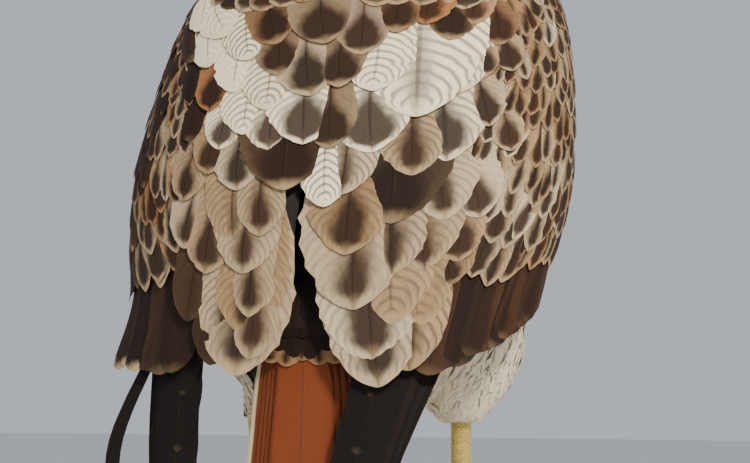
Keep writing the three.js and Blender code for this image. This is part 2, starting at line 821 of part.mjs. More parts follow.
function addHead(trunkSolid) {
  let head = skull().add(trunkSolid.intersect(layer(NECK_CUT_Z - 20, 400)));
  for (const side of Object.values(SIDES)) {
    head = head.add(tube(BROW, side)).add(lid(side));
    head = head.subtract(ball([side * EYE.x, EYE.y, EYE.z], EYE.radius + GAP));
  }
  const above = layer(MOUTH_Z, 400);
  const below = layer(300, MOUTH_Z - GAP);
  const upper = tube(BILL_UPPER, 1, 12).subtract(tube(BILL_LOWER, 1, 12, GAP).intersect(below));
  const lower = tube(BILL_LOWER, 1, 12).intersect(below);
  let cere = tube(CERE, 1, 12).intersect(above).subtract(tube(BILL_UPPER, 1, 12, GAP));
  for (const side of Object.values(SIDES)) {
    cere = cere.subtract(ball([side * NOSTRIL.x, NOSTRIL.y, NOSTRIL.z], NOSTRIL.radius, 10, 8));
  }
  for (const spots of [CERE, BILL_UPPER, BILL_LOWER]) {
    head = head.subtract(tube(spots, 1, 12, GAP));
  }
  addNode(hawk, "head", head.intersect(layer(NECK_CUT_Z + GAP, 400)), MATERIALS.plumage());
  addNode(hawk, "cere", cere, MATERIALS.skin());
  addNode(hawk, "bill_upper", upper, MATERIALS.bill());
  addNode(hawk, "bill_lower", lower, MATERIALS.bill());
  for (const [word, side] of Object.entries(SIDES)) {
    addNode(hawk, `eye_${word}`, ball([side * EYE.x, EYE.y, EYE.z], EYE.radius), MATERIALS.eye());
  }
}

function addTrunk(trunkSolid) {
  addNode(hawk, "torso", trunkSolid.intersect(layer(0, TORSO_CUT_Z)), MATERIALS.plumage());
  const neck = trunkSolid.intersect(layer(TORSO_CUT_Z + GAP, NECK_CUT_Z));
  addNode(hawk, "neck", neck, MATERIALS.plumage());
}

function addWingsAndTail(room) {
  const taken = {};
  for (const [word, side] of Object.entries(SIDES)) {
    taken[word] = wing(side).subtract(room);
    addNode(hawk, `wing_${word}`, taken[word], MATERIALS.plumage());
  }
  addNode(hawk, "tail", tail().subtract(room), MATERIALS.tail());
  return taken;
}

function addLegs(room, wings) {
  for (const [word, side] of Object.entries(SIDES)) {
    const plump = tube(THIGH[word], side, 16).intersect(layer(SHANK_TOP + GAP, 300));
    const thigh = plump.subtract(room).subtract(wings[word]);
    addNode(hawk, `thigh_${word}`, thigh, MATERIALS.pale());
    addNode(hawk, `tarsus_${word}`, tarsus(side), MATERIALS.skin());
    addNode(hawk, `foot_${word}`, foot(side), MATERIALS.skin());
    for (const one of TOES) {
      addNode(hawk, `claw_${one.name}_${word}`, claw(side, one), MATERIALS.claw());
    }
  }
}

function addStand() {
  const branch = perch().translate([0, PERCH_Y, PERCH_TOP - PERCH_RADIUS]);
  const room = perch(GAP).translate([0, PERCH_Y, PERCH_TOP - PERCH_RADIUS]);
  addNode(stand, "perch", branch, MATERIALS.wood());
  addNode(stand, "stand_base", base(), MATERIALS.base());
  for (const [word, side] of Object.entries(SIDES)) {
    const cut = rod().translate([side * ROD_X, PERCH_Y, 0]).subtract(room);
    addNode(stand, `stand_rod_${word}`, cut, MATERIALS.metal());
  }
}

const trunkSolid = trunk();
const room = trunk(GAP);
addHead(trunkSolid);
addTrunk(trunkSolid);
addLegs(room, addWingsAndTail(room));
addStand();

export default whole;
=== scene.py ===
"""A life-size red-tailed hawk seen from behind, perched on a cut branch on a plain display stand.

Sizes are millimetres in the bird's own frame, whose origin is the top of the perch, as they are in
the solids' source. to_world turns them into the scene's metres. Materials, lights and camera are in
metres.
"""

import math

import bpy
import numpy as np
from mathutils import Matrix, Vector, noise
from mathutils.bvhtree import BVHTree


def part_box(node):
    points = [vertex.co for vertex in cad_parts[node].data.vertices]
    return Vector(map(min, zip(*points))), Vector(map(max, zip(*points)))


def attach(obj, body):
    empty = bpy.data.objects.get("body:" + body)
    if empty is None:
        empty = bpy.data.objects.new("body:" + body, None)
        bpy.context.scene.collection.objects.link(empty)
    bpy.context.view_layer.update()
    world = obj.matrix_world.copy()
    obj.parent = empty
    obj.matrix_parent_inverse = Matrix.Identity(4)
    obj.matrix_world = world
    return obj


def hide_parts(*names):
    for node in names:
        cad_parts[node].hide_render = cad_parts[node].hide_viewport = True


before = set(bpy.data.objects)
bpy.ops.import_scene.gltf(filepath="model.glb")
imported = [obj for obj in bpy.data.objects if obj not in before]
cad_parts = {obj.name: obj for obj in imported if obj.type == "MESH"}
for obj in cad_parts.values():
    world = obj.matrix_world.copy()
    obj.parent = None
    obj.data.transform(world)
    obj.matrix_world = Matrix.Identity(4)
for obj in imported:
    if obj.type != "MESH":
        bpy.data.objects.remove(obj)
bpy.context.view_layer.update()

MM = 0.001
HAWK_ORIGIN = np.array([0.0, -0.022, 0.165])
SEED = 29

# Camera, in the photo's frame
IMAGE_SIZE = (750, 463)
MM_PER_PIXEL = 0.5
MIDLINE_PIXEL = 370
PERCH_PIXEL = 565
CAMERA_AZIMUTH = math.radians(197)
CAMERA_DISTANCE = 2.8
SENSOR = 36

# The folded wings' sections: z, half width, front, widest point and back
MANTLE = [
    (-110, 70, 40, 128, 146), (-60, 80, 32, 119, 138), (0, 90, 26, 106, 129), (60, 97, 20, 90, 121),
    (94, 100, 12, 76, 118), (107, 101, 8, 70, 117), (132, 104, -4, 58, 115), (152, 107, -14, 49, 112),
    (175, 110, -26, 38, 106), (197, 111, -38, 28, 98), (232, 107, -60, 11, 80), (252, 103, -68, 2, 68),
    (270, 98, -72, -6, 57), (286, 90, -72, -13, 45), (300, 73, -70, -20, 33), (312, 54, -66, -26, 20),
]
# Where a folded wing's mass ends: z, distance from the midline, angle of its lead edge
WING_EDGES = [
    (112, 17, 86), (132, 9, 94), (165, 5, 106), (200, 3, 117), (240, 2.5, 126), (270, 3, 124),
    (292, 5, 108), (306, 9, 78),
]
SIDES = {"left": 1, "right": -1}
# The left wing hangs out from the body: from this height down, over this fall, by this much
DROOP_TOP = 140
DROOP_FALL = 60
DROOP_OUT = 12
# How much higher the right wing's outer secondaries end than its inner ones
RIGHT_RAISED = 24


def blend(value, low, high):
    """0 below low and 1 above high, smooth between them."""
    t = np.clip((value - low) / (high - low), 0, 1)
    return t * t * (3 - 2 * t)


def toward(a, b, share):
    """a at share 0 and b at share 1."""
    return a + (b - a) * share


def unit(vectors):
    return vectors / np.linalg.norm(vectors, axis=-1, keepdims=True)


def quads(sheet):
    """The four-sided faces between the points of a grid of indices."""
    corners = (sheet[:-1, :-1], sheet[:-1, 1:], sheet[1:, 1:], sheet[1:, :-1])
    return np.stack(corners, -1).reshape(-1, 4)


def sections(table, z):
    """Smooth values of a table's columns at heights z."""
    rows = np.array(table, float)
    z = np.asarray(z, float)
    i = np.clip(np.searchsorted(rows[:, 0], z, side="left") - 1, 0, len(rows) - 2)
    before = rows[np.maximum(i - 1, 0)]
    p = rows[i]
    q = rows[i + 1]
    after = rows[np.minimum(i + 2, len(rows) - 1)]
    span = q[..., :1] - p[..., :1]
    t = (z[..., None] - p[..., :1]) / span
    slope_p = (q - before) / (q[..., :1] - before[..., :1]) * span
    slope_q = (after - p) / (after[..., :1] - p[..., :1]) * span
    curve = (
        (2 * t**3 - 3 * t**2 + 1) * p
        + (t**3 - 2 * t**2 + t) * slope_p
        + (3 * t**2 - 2 * t**3) * q
        + (t**3 - t**2) * slope_q
    )
    straight = p + (q - p) * t
    inside = (t >= 0) & (t <= 1)
    return np.moveaxis(np.where(inside, curve, straight)[..., 1:], -1, 0)


def mantle(side, angle, z, lift=0.0, droop=True):
    """A point over the folded wings: angle from the back, height, and lift over the surface."""
    angle = np.asarray(angle, float)
    z = np.asarray(z, float) * np.ones_like(angle)

    def raw(a, height):
        half, front, middle, back = sections(MANTLE, height)
        deep = np.where(np.cos(a) > 0, back - middle, middle - front)
        return np.stack([side * half * np.sin(a), middle + deep * np.cos(a), height * np.ones_like(a)], -1)

    point = raw(angle, z)
    around = raw(angle + 0.01, z) - raw(angle - 0.01, z)
    normal = unit(np.cross(around, raw(angle, z + 0.5) - raw(angle, z - 0.5)))
    outward = np.stack([point[..., 0], point[..., 1] - sections(MANTLE, z)[2], 0 * z], axis=-1)
    normal *= np.where((normal * outward).sum(-1, keepdims=True) < 0, -1, 1)
    point = point + normal * (np.asarray(lift) * np.ones_like(z))[..., None]
    if droop and side > 0:
        point[..., 0] += DROOP_OUT * blend(DROOP_TOP - z, 0, DROOP_FALL) * np.sin(angle)
    return point


def angle_at(x, z):
    """The angle of the point of the folded wings that lies x from the midline."""
    return np.arcsin(np.minimum(0.999, x / sections(MANTLE, z)[0]))


def to_world(points):
    """From the bird's millimetres to the scene's metres; to_bird goes back."""
    return np.asarray(points) * MM + HAWK_ORIGIN


def to_bird(points):
    return (points - HAWK_ORIGIN) / MM


class Field:
    """A number or colour on its way through a material's node graph."""

    def __init__(self, graph, socket):
        self.graph = graph
        self.socket = socket

    def __add__(self, other):
        return self.graph.math("ADD", self, other)

    def __radd__(self, other):
        return self.graph.math("ADD", other, self)

    def __sub__(self, other):
        return self.graph.math("SUBTRACT", self, other)

    def __rsub__(self, other):
        return self.graph.math("SUBTRACT", other, self)

    def __mul__(self, other):
        return self.graph.math("MULTIPLY", self, other)

    def __rmul__(self, other):
        return self.graph.math("MULTIPLY", other, self)

    def abs(self):
        return self.graph.math("ABSOLUTE", self)

    def step(self, low, high):
        """0 below low and 1 above high, smooth between them; low may be above high."""
        values = (self, low, high, 0.0, 1.0) if low < high else (self, high, low, 1.0, 0.0)
        kind = "ShaderNodeMapRange"
        return self.graph.value(kind, dict(enumerate(values)), interpolation_type="SMOOTHSTEP")


class Graph:
    """A material with one principled shader, and short calls for its nodes."""

    def __init__(self, name, roughness=0.6, **shader):
        self.material = bpy.data.materials.new(name)
        self.material.use_nodes = True
        self.tree = self.material.node_tree
        self.shader = self.tree.nodes["Principled BSDF"]
        self.set("Roughness", roughness)
        for key, value in shader.items():
            self.set(key.replace("_", " "), value)

    def feed(self, socket, value):
        """Links a Field, or sets a number or colour."""
        if isinstance(value, Field):
            self.tree.links.new(value.socket, socket)
        elif isinstance(value, (tuple, list)) and len(value) == 3 and len(socket.default_value) == 4:
            socket.default_value = (*value, 1)
        else:
            socket.default_value = value

    def set(self, name, value):
        self.feed(self.shader.inputs[name], value)

    def node(self, kind, inputs, **settings):
        """A node with its settings, and what feeds its inputs by name or number."""
        node = self.tree.nodes.new(kind)
        for key, value in settings.items():
            setattr(node, key, value)
        for key, value in inputs.items():
            self.feed(node.inputs[key], value)
        return node

    def value(self, kind, inputs, output=0, **settings):
        return Field(self, self.node(kind, inputs, **settings).outputs[output])

    def math(self, operation, a, b=0.0):
        return self.value("ShaderNodeMath", {0: a, 1: b}, operation=operation)

    def mix(self, factor, a, b):
        return self.value("ShaderNodeMix", {0: factor, 6: a, 7: b}, 2, data_type="RGBA")

    def split(self, source):
        return [Field(self, output) for output in self.node("ShaderNodeSeparateXYZ", {0: source}).outputs]

    def join(self, x, y, z):
        return self.value("ShaderNodeCombineXYZ", {0: x, 1: y, 2: z})

    def attribute(self, name):
        return self.split(self.value("ShaderNodeAttribute", {}, "Vector", attribute_name=name))

    def position(self):
        return self.value("ShaderNodeTexCoord", {}, "Object")

    def noise(self, vector, scale, detail=3.0, rough=0.55):
        inputs = {"Vector": vector, "Scale": scale, "Detail": detail, "Roughness": rough}
        return self.value("ShaderNodeTexNoise", inputs)

    def bump(self, height, distance, strength=1.0):
        inputs = {"Distance": distance, "Strength": strength, "Height": height}
        self.set("Normal", self.value("ShaderNodeBump", inputs))

    def finish(self, colour):
        self.set("Base Color", colour)
        return self.material


CREAM = (0.78, 0.6, 0.35)
WHITE = (0.98, 0.86, 0.62)
TAN = (0.32, 0.195, 0.09)
PALE_TAN = (0.48, 0.325, 0.16)
GREY_BROWN = (0.18, 0.11, 0.058)
DARK_BROWN = (0.014, 0.008, 0.006)
BLACK_BROWN = (0.008, 0.006, 0.0055)
RUST = (0.34, 0.12, 0.035)
BRICK = (0.17, 0.04, 0.011)


def feather_material(name="feather", barbs=60, deep=DARK_BROWN, tip_from=0.88):
    """Every feather but the tail's. A point carries its place on the feather (along, across, seed),
    its paint (white, dark, rust) and its marks (bars, spot, edge). The base is laid first, then the
    cross bars, the dark drop near the tip, the pale fringe, the shaft and the barbs."""
    g = Graph(name, roughness=0.75, Specular_IOR_Level=0.12)
    along, across, seed = g.attribute("place")
    white, dark, rust = g.attribute("paint")
    bars, spot, edge = g.attribute("extra")
    side = across.abs()
    barb = g.noise(g.join(along * barbs - side * 18, across * 3, seed * 37), 1.0, 2.0)
    blur = g.noise(g.join(along * 4, across * 2.2, seed * 91), 1.0, 3.0) - 0.5
    fleck = g.noise(g.join(along * 16 - side * 5, across * 3, seed * 53), 1.0, 2.0)
    ground = g.mix(side.step(0.2, 1.0) * 0.6 + blur, TAN, PALE_TAN)
    ground = g.mix(blur.step(-0.25, 0.3) * 0.5 + fleck.step(0.45, 0.7) * 0.35, ground, GREY_BROWN)
    base = g.mix(white, ground, WHITE)
    base = g.mix(rust * (1.0 - white * 0.55), base, RUST)
    swell = along.step(0.42, 0.9) * along.step(0.99, 0.88)
    drop = (spot * swell + blur * 0.5 - side).step(-0.36, 0.22) * spot.step(0.0, 0.2)
    droop = side * side * 2.6 + side * 0.4
    wave = g.math("SINE", (along * (13.0 + seed * 2.0) - droop + blur * 0.6) * 6.283 + seed * 6.0)
    stripe = wave.step(-0.2, 0.95) * bars * along.step(0.97, 0.9) * (1.0 - drop)
    base = g.mix(stripe * 0.8, base, g.mix(white, (0.1, 0.06, 0.035), (0.16, 0.105, 0.06)))
    base = g.mix(dark, base, g.mix(rust * 0.5, deep, RUST))
    base = g.mix(drop * 0.95, base, g.mix(seed * 0.5, DARK_BROWN, (0.05, 0.019, 0.009)))
    rim = (side + blur * 0.2).step(0.75, 1.05)
    tip = (along + blur * (0.94 - tip_from) - side * 0.03).step(tip_from, 0.98)
    fringe = g.math("MAXIMUM", rim * (0.2 - dark * 0.17), tip) * edge
    base = g.mix(fringe, base, g.mix(white * 0.6 + edge * 0.3, g.mix(rust, PALE_TAN, RUST), CREAM))
    shaft = side.step(0.05, 0.018) * along.step(0.98, 0.8)
    base = g.mix(shaft * 0.4, base, (0.03, 0.017, 0.011))
    base = g.mix(barb.step(0.35, 0.7) * 0.3, base, g.mix(0.5, DARK_BROWN, base))
    g.bump(barb + shaft * 1.4, 0.0004, 0.8)
    return g.finish(base)


def tail_material():
    """Brick red above, with a dark band near the tip and a pale tip."""
    g = Graph("tail_feather", roughness=0.7, Specular_IOR_Level=0.15)
    along, across, seed = g.attribute("place")
    white = g.attribute("paint")[0]
    side = across.abs()
    barb = g.noise(g.join(along * 130 - side * 20, across * 3, seed * 37), 1.0, 2.0)
    blur = g.noise(g.join(along * 9, across * 2.4, seed * 91), 1.0, 3.0) - 0.5
    base = g.mix(seed * 0.35 + blur * 0.3, BRICK, (0.19, 0.04, 0.012))
    base = g.mix(white * across.step(0.2, 0.85), base, CREAM)
    wavy = along + blur * 0.015
    band = wavy.step(0.905, 0.918) * wavy.step(0.955, 0.943)
    base = g.mix(band * 0.93, base, BLACK_BROWN)
    base = g.mix(along.step(0.965, 0.985), base, CREAM)
    base = g.mix(side.step(0.85, 1.0) * 0.35, base, BLACK_BROWN)
    shaft = side.step(0.05, 0.02)
    base = g.mix(shaft * 0.4, base, (0.1, 0.04, 0.02))
    base = g.mix(barb.step(0.4, 0.7) * 0.18, base, g.mix(0.5, DARK_BROWN, base))
    g.bump(barb + shaft * 1.4, 0.0003, 0.5)
    return g.finish(base)


def down_material():
    """The skin under the feathers, which only shows between them: pale below, brown on the head,
    and near black on the back under the wings as painted shade."""
    g = Graph("down", roughness=0.9)
    x, y, z = g.split(g.position())
    speck = g.noise(g.position(), 900, 3)
    colour = g.mix(speck.step(0.3, 0.7), (0.3, 0.25, 0.19), (0.6, 0.52, 0.42))
    head = z.step(0.49, 0.505) * (y.step(-0.084, -0.079) + z.step(0.52, 0.528)).step(0, 0.9)
    colour = g.mix(head, colour, g.mix(speck.step(0.3, 0.7), (0.05, 0.03, 0.018), (0.16, 0.09, 0.05)))
    # Painted shade: the back under the wings is mixed to near black by height and depth.
    return g.finish(g.mix(y.step(0.005, 0.025) * z.step(0.25, 0.265), colour, (0.012, 0.009, 0.007)))


def bed_material():
    """The wing's own body: near black behind as painted shade, mottled brown where it shows beside the
    breast.
    """
    g = Graph("wing_bed", roughness=0.9)
    x, y, z = g.split(g.position())
    speck = g.noise(g.position(), 700, 3)
    mottle = g.noise(g.join(x, y, z * 0.35), 260, 3)
    # Painted shade: the back of the wing's body is near black.
    behind = g.mix(speck.step(0.3, 0.7), (0.004, 0.003, 0.0025), (0.014, 0.01, 0.008))
    beside = g.mix(mottle.step(0.4, 0.6), (0.05, 0.03, 0.018), (0.42, 0.3, 0.18))
    return g.finish(g.mix(y.step(0.02, -0.005), behind, beside))


def bill_material():
    """Blue-grey horn, black towards the hook."""
    g = Graph("bill_horn", roughness=0.32, Coat_Weight=0.25, Coat_Roughness=0.2)
    x, y, z = g.split(g.position())
    front = y.step(-0.098, -0.112)
    streak = g.noise(g.join(x * 2, y * 0.35, z * 2), 900, 2)
    colour = g.mix(front, (0.17, 0.2, 0.24), (0.012, 0.012, 0.014))
    g.bump(streak, 0.0002, 0.35)
    return g.finish(g.mix(streak.step(0.4, 0.7) * 0.3, colour, (0.05, 0.05, 0.06)))


def yellow_material(name, colour, scale, nostril=None):
    """Scaled skin of the cere, the shanks and the toes; on the cere, a painted shade darkens the nostril on
    each side.
    """
    g = Graph(name, roughness=0.48, Specular_IOR_Level=0.4)
    inputs = {"Vector": g.position(), "Scale": scale}
    crack = g.value("ShaderNodeTexVoronoi", inputs, "Distance", feature="DISTANCE_TO_EDGE").step(0.0, 0.16)
    stain = g.noise(g.position(), 180, 4)
    deep = tuple(c * 0.66 for c in colour)
    g.bump(crack, 0.0004, 0.6)
    base = g.mix(crack, deep, colour)
    if nostril:
        x, y, z = g.split(g.position())
        hole = [
            (axis - at) * stretch
            for axis, at, stretch in zip((x.abs(), y, z), nostril, NOSTRIL_SHADE_STRETCH)
        ]
        far = g.math("SQRT", hole[0] * hole[0] + hole[1] * hole[1] + hole[2] * hole[2])
        # Painted shade: the nostril's hole is dark.
        base = g.mix(far.step(0.0018, 0.0012), base, (0.012, 0.009, 0.006))
    return g.finish(g.mix(stain.step(0.5, 0.8) * 0.4, base, (0.35, 0.22, 0.06)))


def claw_material():
    g = Graph("claw_horn", roughness=0.28, Coat_Weight=0.3, Coat_Roughness=0.15)
    streak = g.noise(g.position(), 700, 2)
    g.bump(streak, 0.0002, 0.3)
    return g.finish(g.mix(streak.step(0.45, 0.75), (0.01, 0.009, 0.009), (0.05, 0.042, 0.038)))


def bark_material():
    """Furrowed bark with a little lichen, and growth rings on the sawn ends."""
    g = Graph("bark", roughness=0.9)
    x, y, z = g.split(g.position())
    grain = g.noise(g.join(x * 0.25, y, z), 120, 6, 0.65)
    lichen = g.noise(g.position(), 55, 5)
    radius = g.math("SQRT", y * y + z * z)
    colour = g.mix(grain.step(0.35, 0.65), (0.075, 0.052, 0.036), (0.27, 0.215, 0.16))
    colour = g.mix(lichen.step(0.6, 0.72) * 0.7, colour, (0.33, 0.35, 0.26))
    rings = g.math("SINE", (radius + grain * 0.0012) * 5200).step(-0.4, 0.8)
    wood = g.mix(rings, (0.5, 0.36, 0.21), (0.34, 0.22, 0.12))
    end = x.abs().step(0.1052, 0.1062) * radius.step(0.0182, 0.0174)
    g.bump(grain, 0.0012, 0.8)
    return g.finish(g.mix(end, colour, wood))


def base_material():
    g = Graph("oiled_wood", roughness=0.42, Coat_Weight=0.15, Coat_Roughness=0.3)
    x, y, z = g.split(g.position())
    grain = g.noise(g.join(x * 0.06, y, z), 190, 5, 0.6)
    rings = g.math("SINE", (y + g.noise(g.join(x * 0.5, y, z), 7, 2) * 0.05) * 420).step(-0.8, 0.9)
    colour = g.mix(rings, (0.085, 0.042, 0.02), (0.16, 0.085, 0.042))
    g.bump(grain, 0.0003, 0.4)
    return g.finish(g.mix(grain.step(0.45, 0.75) * 0.6, colour, (0.05, 0.025, 0.013)))


def steel_material():
    g = Graph("brushed_steel", roughness=0.34, Metallic=1.0)
    x, y, z = g.split(g.position())
    brush = g.noise(g.join(x * 3, y * 3, z * 0.08), 1400, 2)
    g.bump(brush, 0.0001, 0.3)
    return g.finish(g.mix(brush.step(0.3, 0.7), (0.42, 0.42, 0.43), (0.62, 0.62, 0.62)))


def eye_material(centre, gaze):
    """A brown iris round a black pupil, by distance from the axis the eye looks along."""
    g = Graph("glass_eye", roughness=0.3, Specular_IOR_Level=0.1, Coat_Weight=0.35, Coat_Roughness=0.03)
    x, y, z = g.split(g.position())
    along = (x - centre[0]) * gaze[0] + (y - centre[1]) * gaze[1] + (z - centre[2]) * gaze[2]
    fleck = g.noise(g.position(), 1500, 3)
    facing = along * (1 / (EYE_RADIUS * MM))
    pupil = facing.step(0.875, 0.885)
    rim = facing.step(0.68, 0.62)
    iris = g.mix(fleck.step(0.35, 0.7), (0.05, 0.018, 0.006), (0.13, 0.05, 0.014))
    colour = g.mix(pupil, iris, (0.003, 0.003, 0.003))
    return g.finish(g.mix(rim, colour, (0.008, 0.006, 0.005)))


def floor_material():
    return Graph("floor", roughness=0.8).finish((0.72, 0.73, 0.74))


def link(name, data):
    """A new object in the scene."""
    obj = bpy.data.objects.new(name, data)
    bpy.context.scene.collection.objects.link(obj)
    return obj


def read(items, key, width, kind=float):
    """A value of every vertex, edge or corner of a mesh, as rows of numbers."""
    values = np.empty(len(items) * width, kind)
    items.foreach_get(key, values)
    return values.reshape(-1, width)


def add_mesh(name, verts, faces, material=None):
    mesh = bpy.data.meshes.new(name)
    mesh.from_pydata([tuple(v) for v in verts], [], [tuple(int(i) for i in f) for f in faces])
    mesh.update()
    mesh.polygons.foreach_set("use_smooth", [True] * len(mesh.polygons))
    if material:
        mesh.materials.append(material)
    return link(name, mesh)


def dress(obj, slot, *replaced):
    """Hangs a piece under the root empty and hides the nodes that it stands for. slot is not used."""
    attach(obj, "root")
    if replaced:
        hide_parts(*replaced)


class Coat:
    """Many closed feathers gathered into one mesh, with what each point needs for its colour."""

    def __init__(self, name):
        self.name = name
        self.count = 0
        names = ("verts", "faces", "place", "paint", "extra", "uv", "normals", "rim")
        self.columns = {key: [] for key in names}

    def add(self, grid, outward, along, across, seed, paint, extra, cell, thick=0.25, soft=0.5):
        """grid is rows x columns x 3. The under side shares the rim with the upper side.
        The higher soft is, the more the feather is shaded like the body under it."""
        corner, size = cell
        rows, columns = grid.shape[:2]
        normal = np.cross(np.gradient(grid, axis=0), np.gradient(grid, axis=1))
        if (normal.sum(axis=(0, 1)) * outward).sum() < 0:
            grid = grid[:, ::-1]
            across = across[::-1]
            normal = -normal[:, ::-1]
        normal = normal / (np.linalg.norm(normal, axis=-1, keepdims=True) + 1e-9)
        inner = np.zeros((rows, columns), bool)
        inner[1:-1, 1:-1] = True
        top = np.arange(rows * columns).reshape(rows, columns) + self.count
        low = top.copy()
        low[inner] = self.count + rows * columns + np.arange(inner.sum())
        faces = [quads(top)[:, [0, 3, 2, 1]], quads(low)]
        keep = np.concatenate([np.arange(rows * columns), np.flatnonzero(inner)])
        u = np.broadcast_to(along[:, None], (rows, columns)).ravel()[keep]
        v = np.broadcast_to(across[None, :], (rows, columns)).ravel()[keep]
        under = (grid - normal * thick)[inner]
        bent = unit(normal * (1 - soft) + unit(outward) * soft).reshape(-1, 3)[keep]
        above, below = (f - self.count for f in faces)
        add = {
            "verts": np.concatenate([grid.reshape(-1, 3), under]),
            "faces": np.concatenate(faces),
            "place": np.stack([u, v, np.full(len(u), seed)], -1),
            "paint": np.broadcast_to(paint, (len(u), 3)),
            "extra": np.broadcast_to(extra, (len(u), 3)),
            "uv": np.stack([corner[0] + size[0] * (v + 1) / 2, corner[1] + size[1] * u], -1),
            "normals": np.concatenate([bent[above], -bent[below]]),
            "rim": np.concatenate([~inner.ravel(), np.zeros(inner.sum(), bool)]),
        }
        for key, value in add.items():
            self.columns[key].append(value)
        self.count += len(keep)

    def build(self, material):
        """One mesh. The rims are sharp so that the bent normals hold up to them."""
        data = {key: np.concatenate(value) for key, value in self.columns.items()}
        mesh = bpy.data.meshes.new(self.name)
        faces = data["faces"].astype(np.int32)
        mesh.vertices.add(self.count)
        mesh.vertices.foreach_set("co", to_world(data["verts"]).astype(np.float32).ravel())
        mesh.loops.add(faces.size)
        mesh.loops.foreach_set("vertex_index", faces.ravel())
        mesh.polygons.add(len(faces))
        mesh.polygons.foreach_set("loop_start", np.arange(0, faces.size, 4, dtype=np.int32))
        mesh.update(calc_edges=True)
        mesh.polygons.foreach_set("use_smooth", np.ones(len(faces), bool))
        for name in ("place", "paint", "extra"):
            layer = mesh.attributes.new(name, "FLOAT_VECTOR", "POINT")
            layer.data.foreach_set("vector", data[name].astype(np.float32).ravel())
        layer = mesh.uv_layers.new(name="OFBake")
        layer.data.foreach_set("uv", data["uv"][faces.ravel()].astype(np.float32).ravel())
        ends = read(mesh.edges, "vertices", 2, np.int32)
        layer = mesh.attributes.new("sharp_edge", "BOOLEAN", "EDGE")
        layer.data.foreach_set("value", data["rim"][ends].all(axis=1))
        layer = mesh.attributes.new("custom_normal", "FLOAT_VECTOR", "CORNER")
        layer.data.foreach_set("vector", data["normals"].astype(np.float32).ravel())
        mesh.materials.append(material)
        return link(self.name, mesh)


class Atlas:
    """Hands out equal cells of the unit square to large feathers, for their baked colours."""

    def __init__(self, cells):
        self.side = math.ceil(math.sqrt(cells))
        self.next = 0

    def cell(self):
        row, column = divmod(self.next, self.side)
        self.next += 1
        step = 1 / self.side
        return (column * step + 0.08 * step, row * step + 0.04 * step), (0.84 * step, 0.92 * step)


def outline(t, width, length, root=0.45, blunt=1.0, point=0.6):
    """Half width of a feather along its length, closed by a round or pointed tip."""
    start = max(0.3, 1 - blunt * width / (2 * length))
    body = root + (1 - root) * np.sin(np.minimum(1, t / 0.42) * math.pi / 2)
    end = np.clip((t - start) / (1 - start), 0, 1)
    return width / 2 * body * np.maximum(0, 1 - end**2) ** point + 0.06


def vane_grid(place, path, width, length, rng, rows, columns, roll=0.0, camber=0.8, ragged=0.025, **shape):
    """Points of one feather laid on a surface, and the way it faces."""
    t = 1 - (1 - np.linspace(0, 1, rows)) ** 1.7
    c = np.linspace(-1, 1, columns)
    u, v, lift = path(t)
    centre = place(u, v, lift)
    step_u = (place(u + 0.01, v, lift) - centre) * 100
    step_v = (place(u, v + 0.01, lift) - centre) * 100
    normal = unit(place(u, v, lift + 1) - centre)
    ahead = place(*path(np.minimum(1, t + 0.02))) - place(*path(np.maximum(0, t - 0.02)))
    across = unit(np.cross(normal, ahead))
    rate_u = (across * step_u).sum(1) / (step_u**2).sum(1)
    rate_v = (across * step_v).sum(1) / (step_v**2).sum(1)
    half = outline(t, width, length, **shape)
    fray = 1 + rng.normal(0, ragged, (rows, 2))
    split = rng.integers(rows // 3, rows - 1, 2)
    fray[split, (0, 1)] *= 1 - 4 * ragged * rng.random(2)
    fray[-1] = 1
    out = half[:, None] * c * np.where(c < 0, fray[:, :1], fray[:, 1:])
    rise = lift[:, None] + out * roll + camber * (1 - c**2) * (half[:, None] * 2 / width)
    grid = place(u[:, None] + out * rate_u[:, None], v[:, None] + out * rate_v[:, None], rise)
    return grid, normal.mean(axis=0), t, c


class PhotoMap:
    """Finds the point of the folded wings that shows at a pixel of the photo."""

    def __init__(self):
        angles, heights = np.meshgrid(
            np.radians(np.arange(1, 104, 0.5)), np.arange(60, 312, 1.0), indexing="ij"
        )
        self.spots = []
        self.pixels = []
        for side in (1, -1):
            points = mantle(side, angles, heights)
            offset = points - VIEW_TARGET
            scale = 1 / (MM_PER_PIXEL * (1 - offset @ VIEW_BACK / (CAMERA_DISTANCE / MM)))
            px = IMAGE_SIZE[0] / 2 + offset @ VIEW_RIGHT * scale
            py = IMAGE_SIZE[1] / 2 - offset[..., 2] * scale
            self.pixels.append(np.stack([px, py], -1).reshape(-1, 2))
            self.spots.append(np.stack([side + 0 * angles, angles, heights], -1).reshape(-1, 3))
        self.pixels = np.concatenate(self.pixels)
        self.spots = np.concatenate(self.spots)

    def find(self, px, py, side=None):
        """The side, angle and height of the nearest point, on one side where that is given."""
        far = ((self.pixels - (px, py)) ** 2).sum(-1)
        if side is not None:
            far = far + 1e6 * (self.spots[:, 0] != side)
        return self.spots[np.argmin(far)]


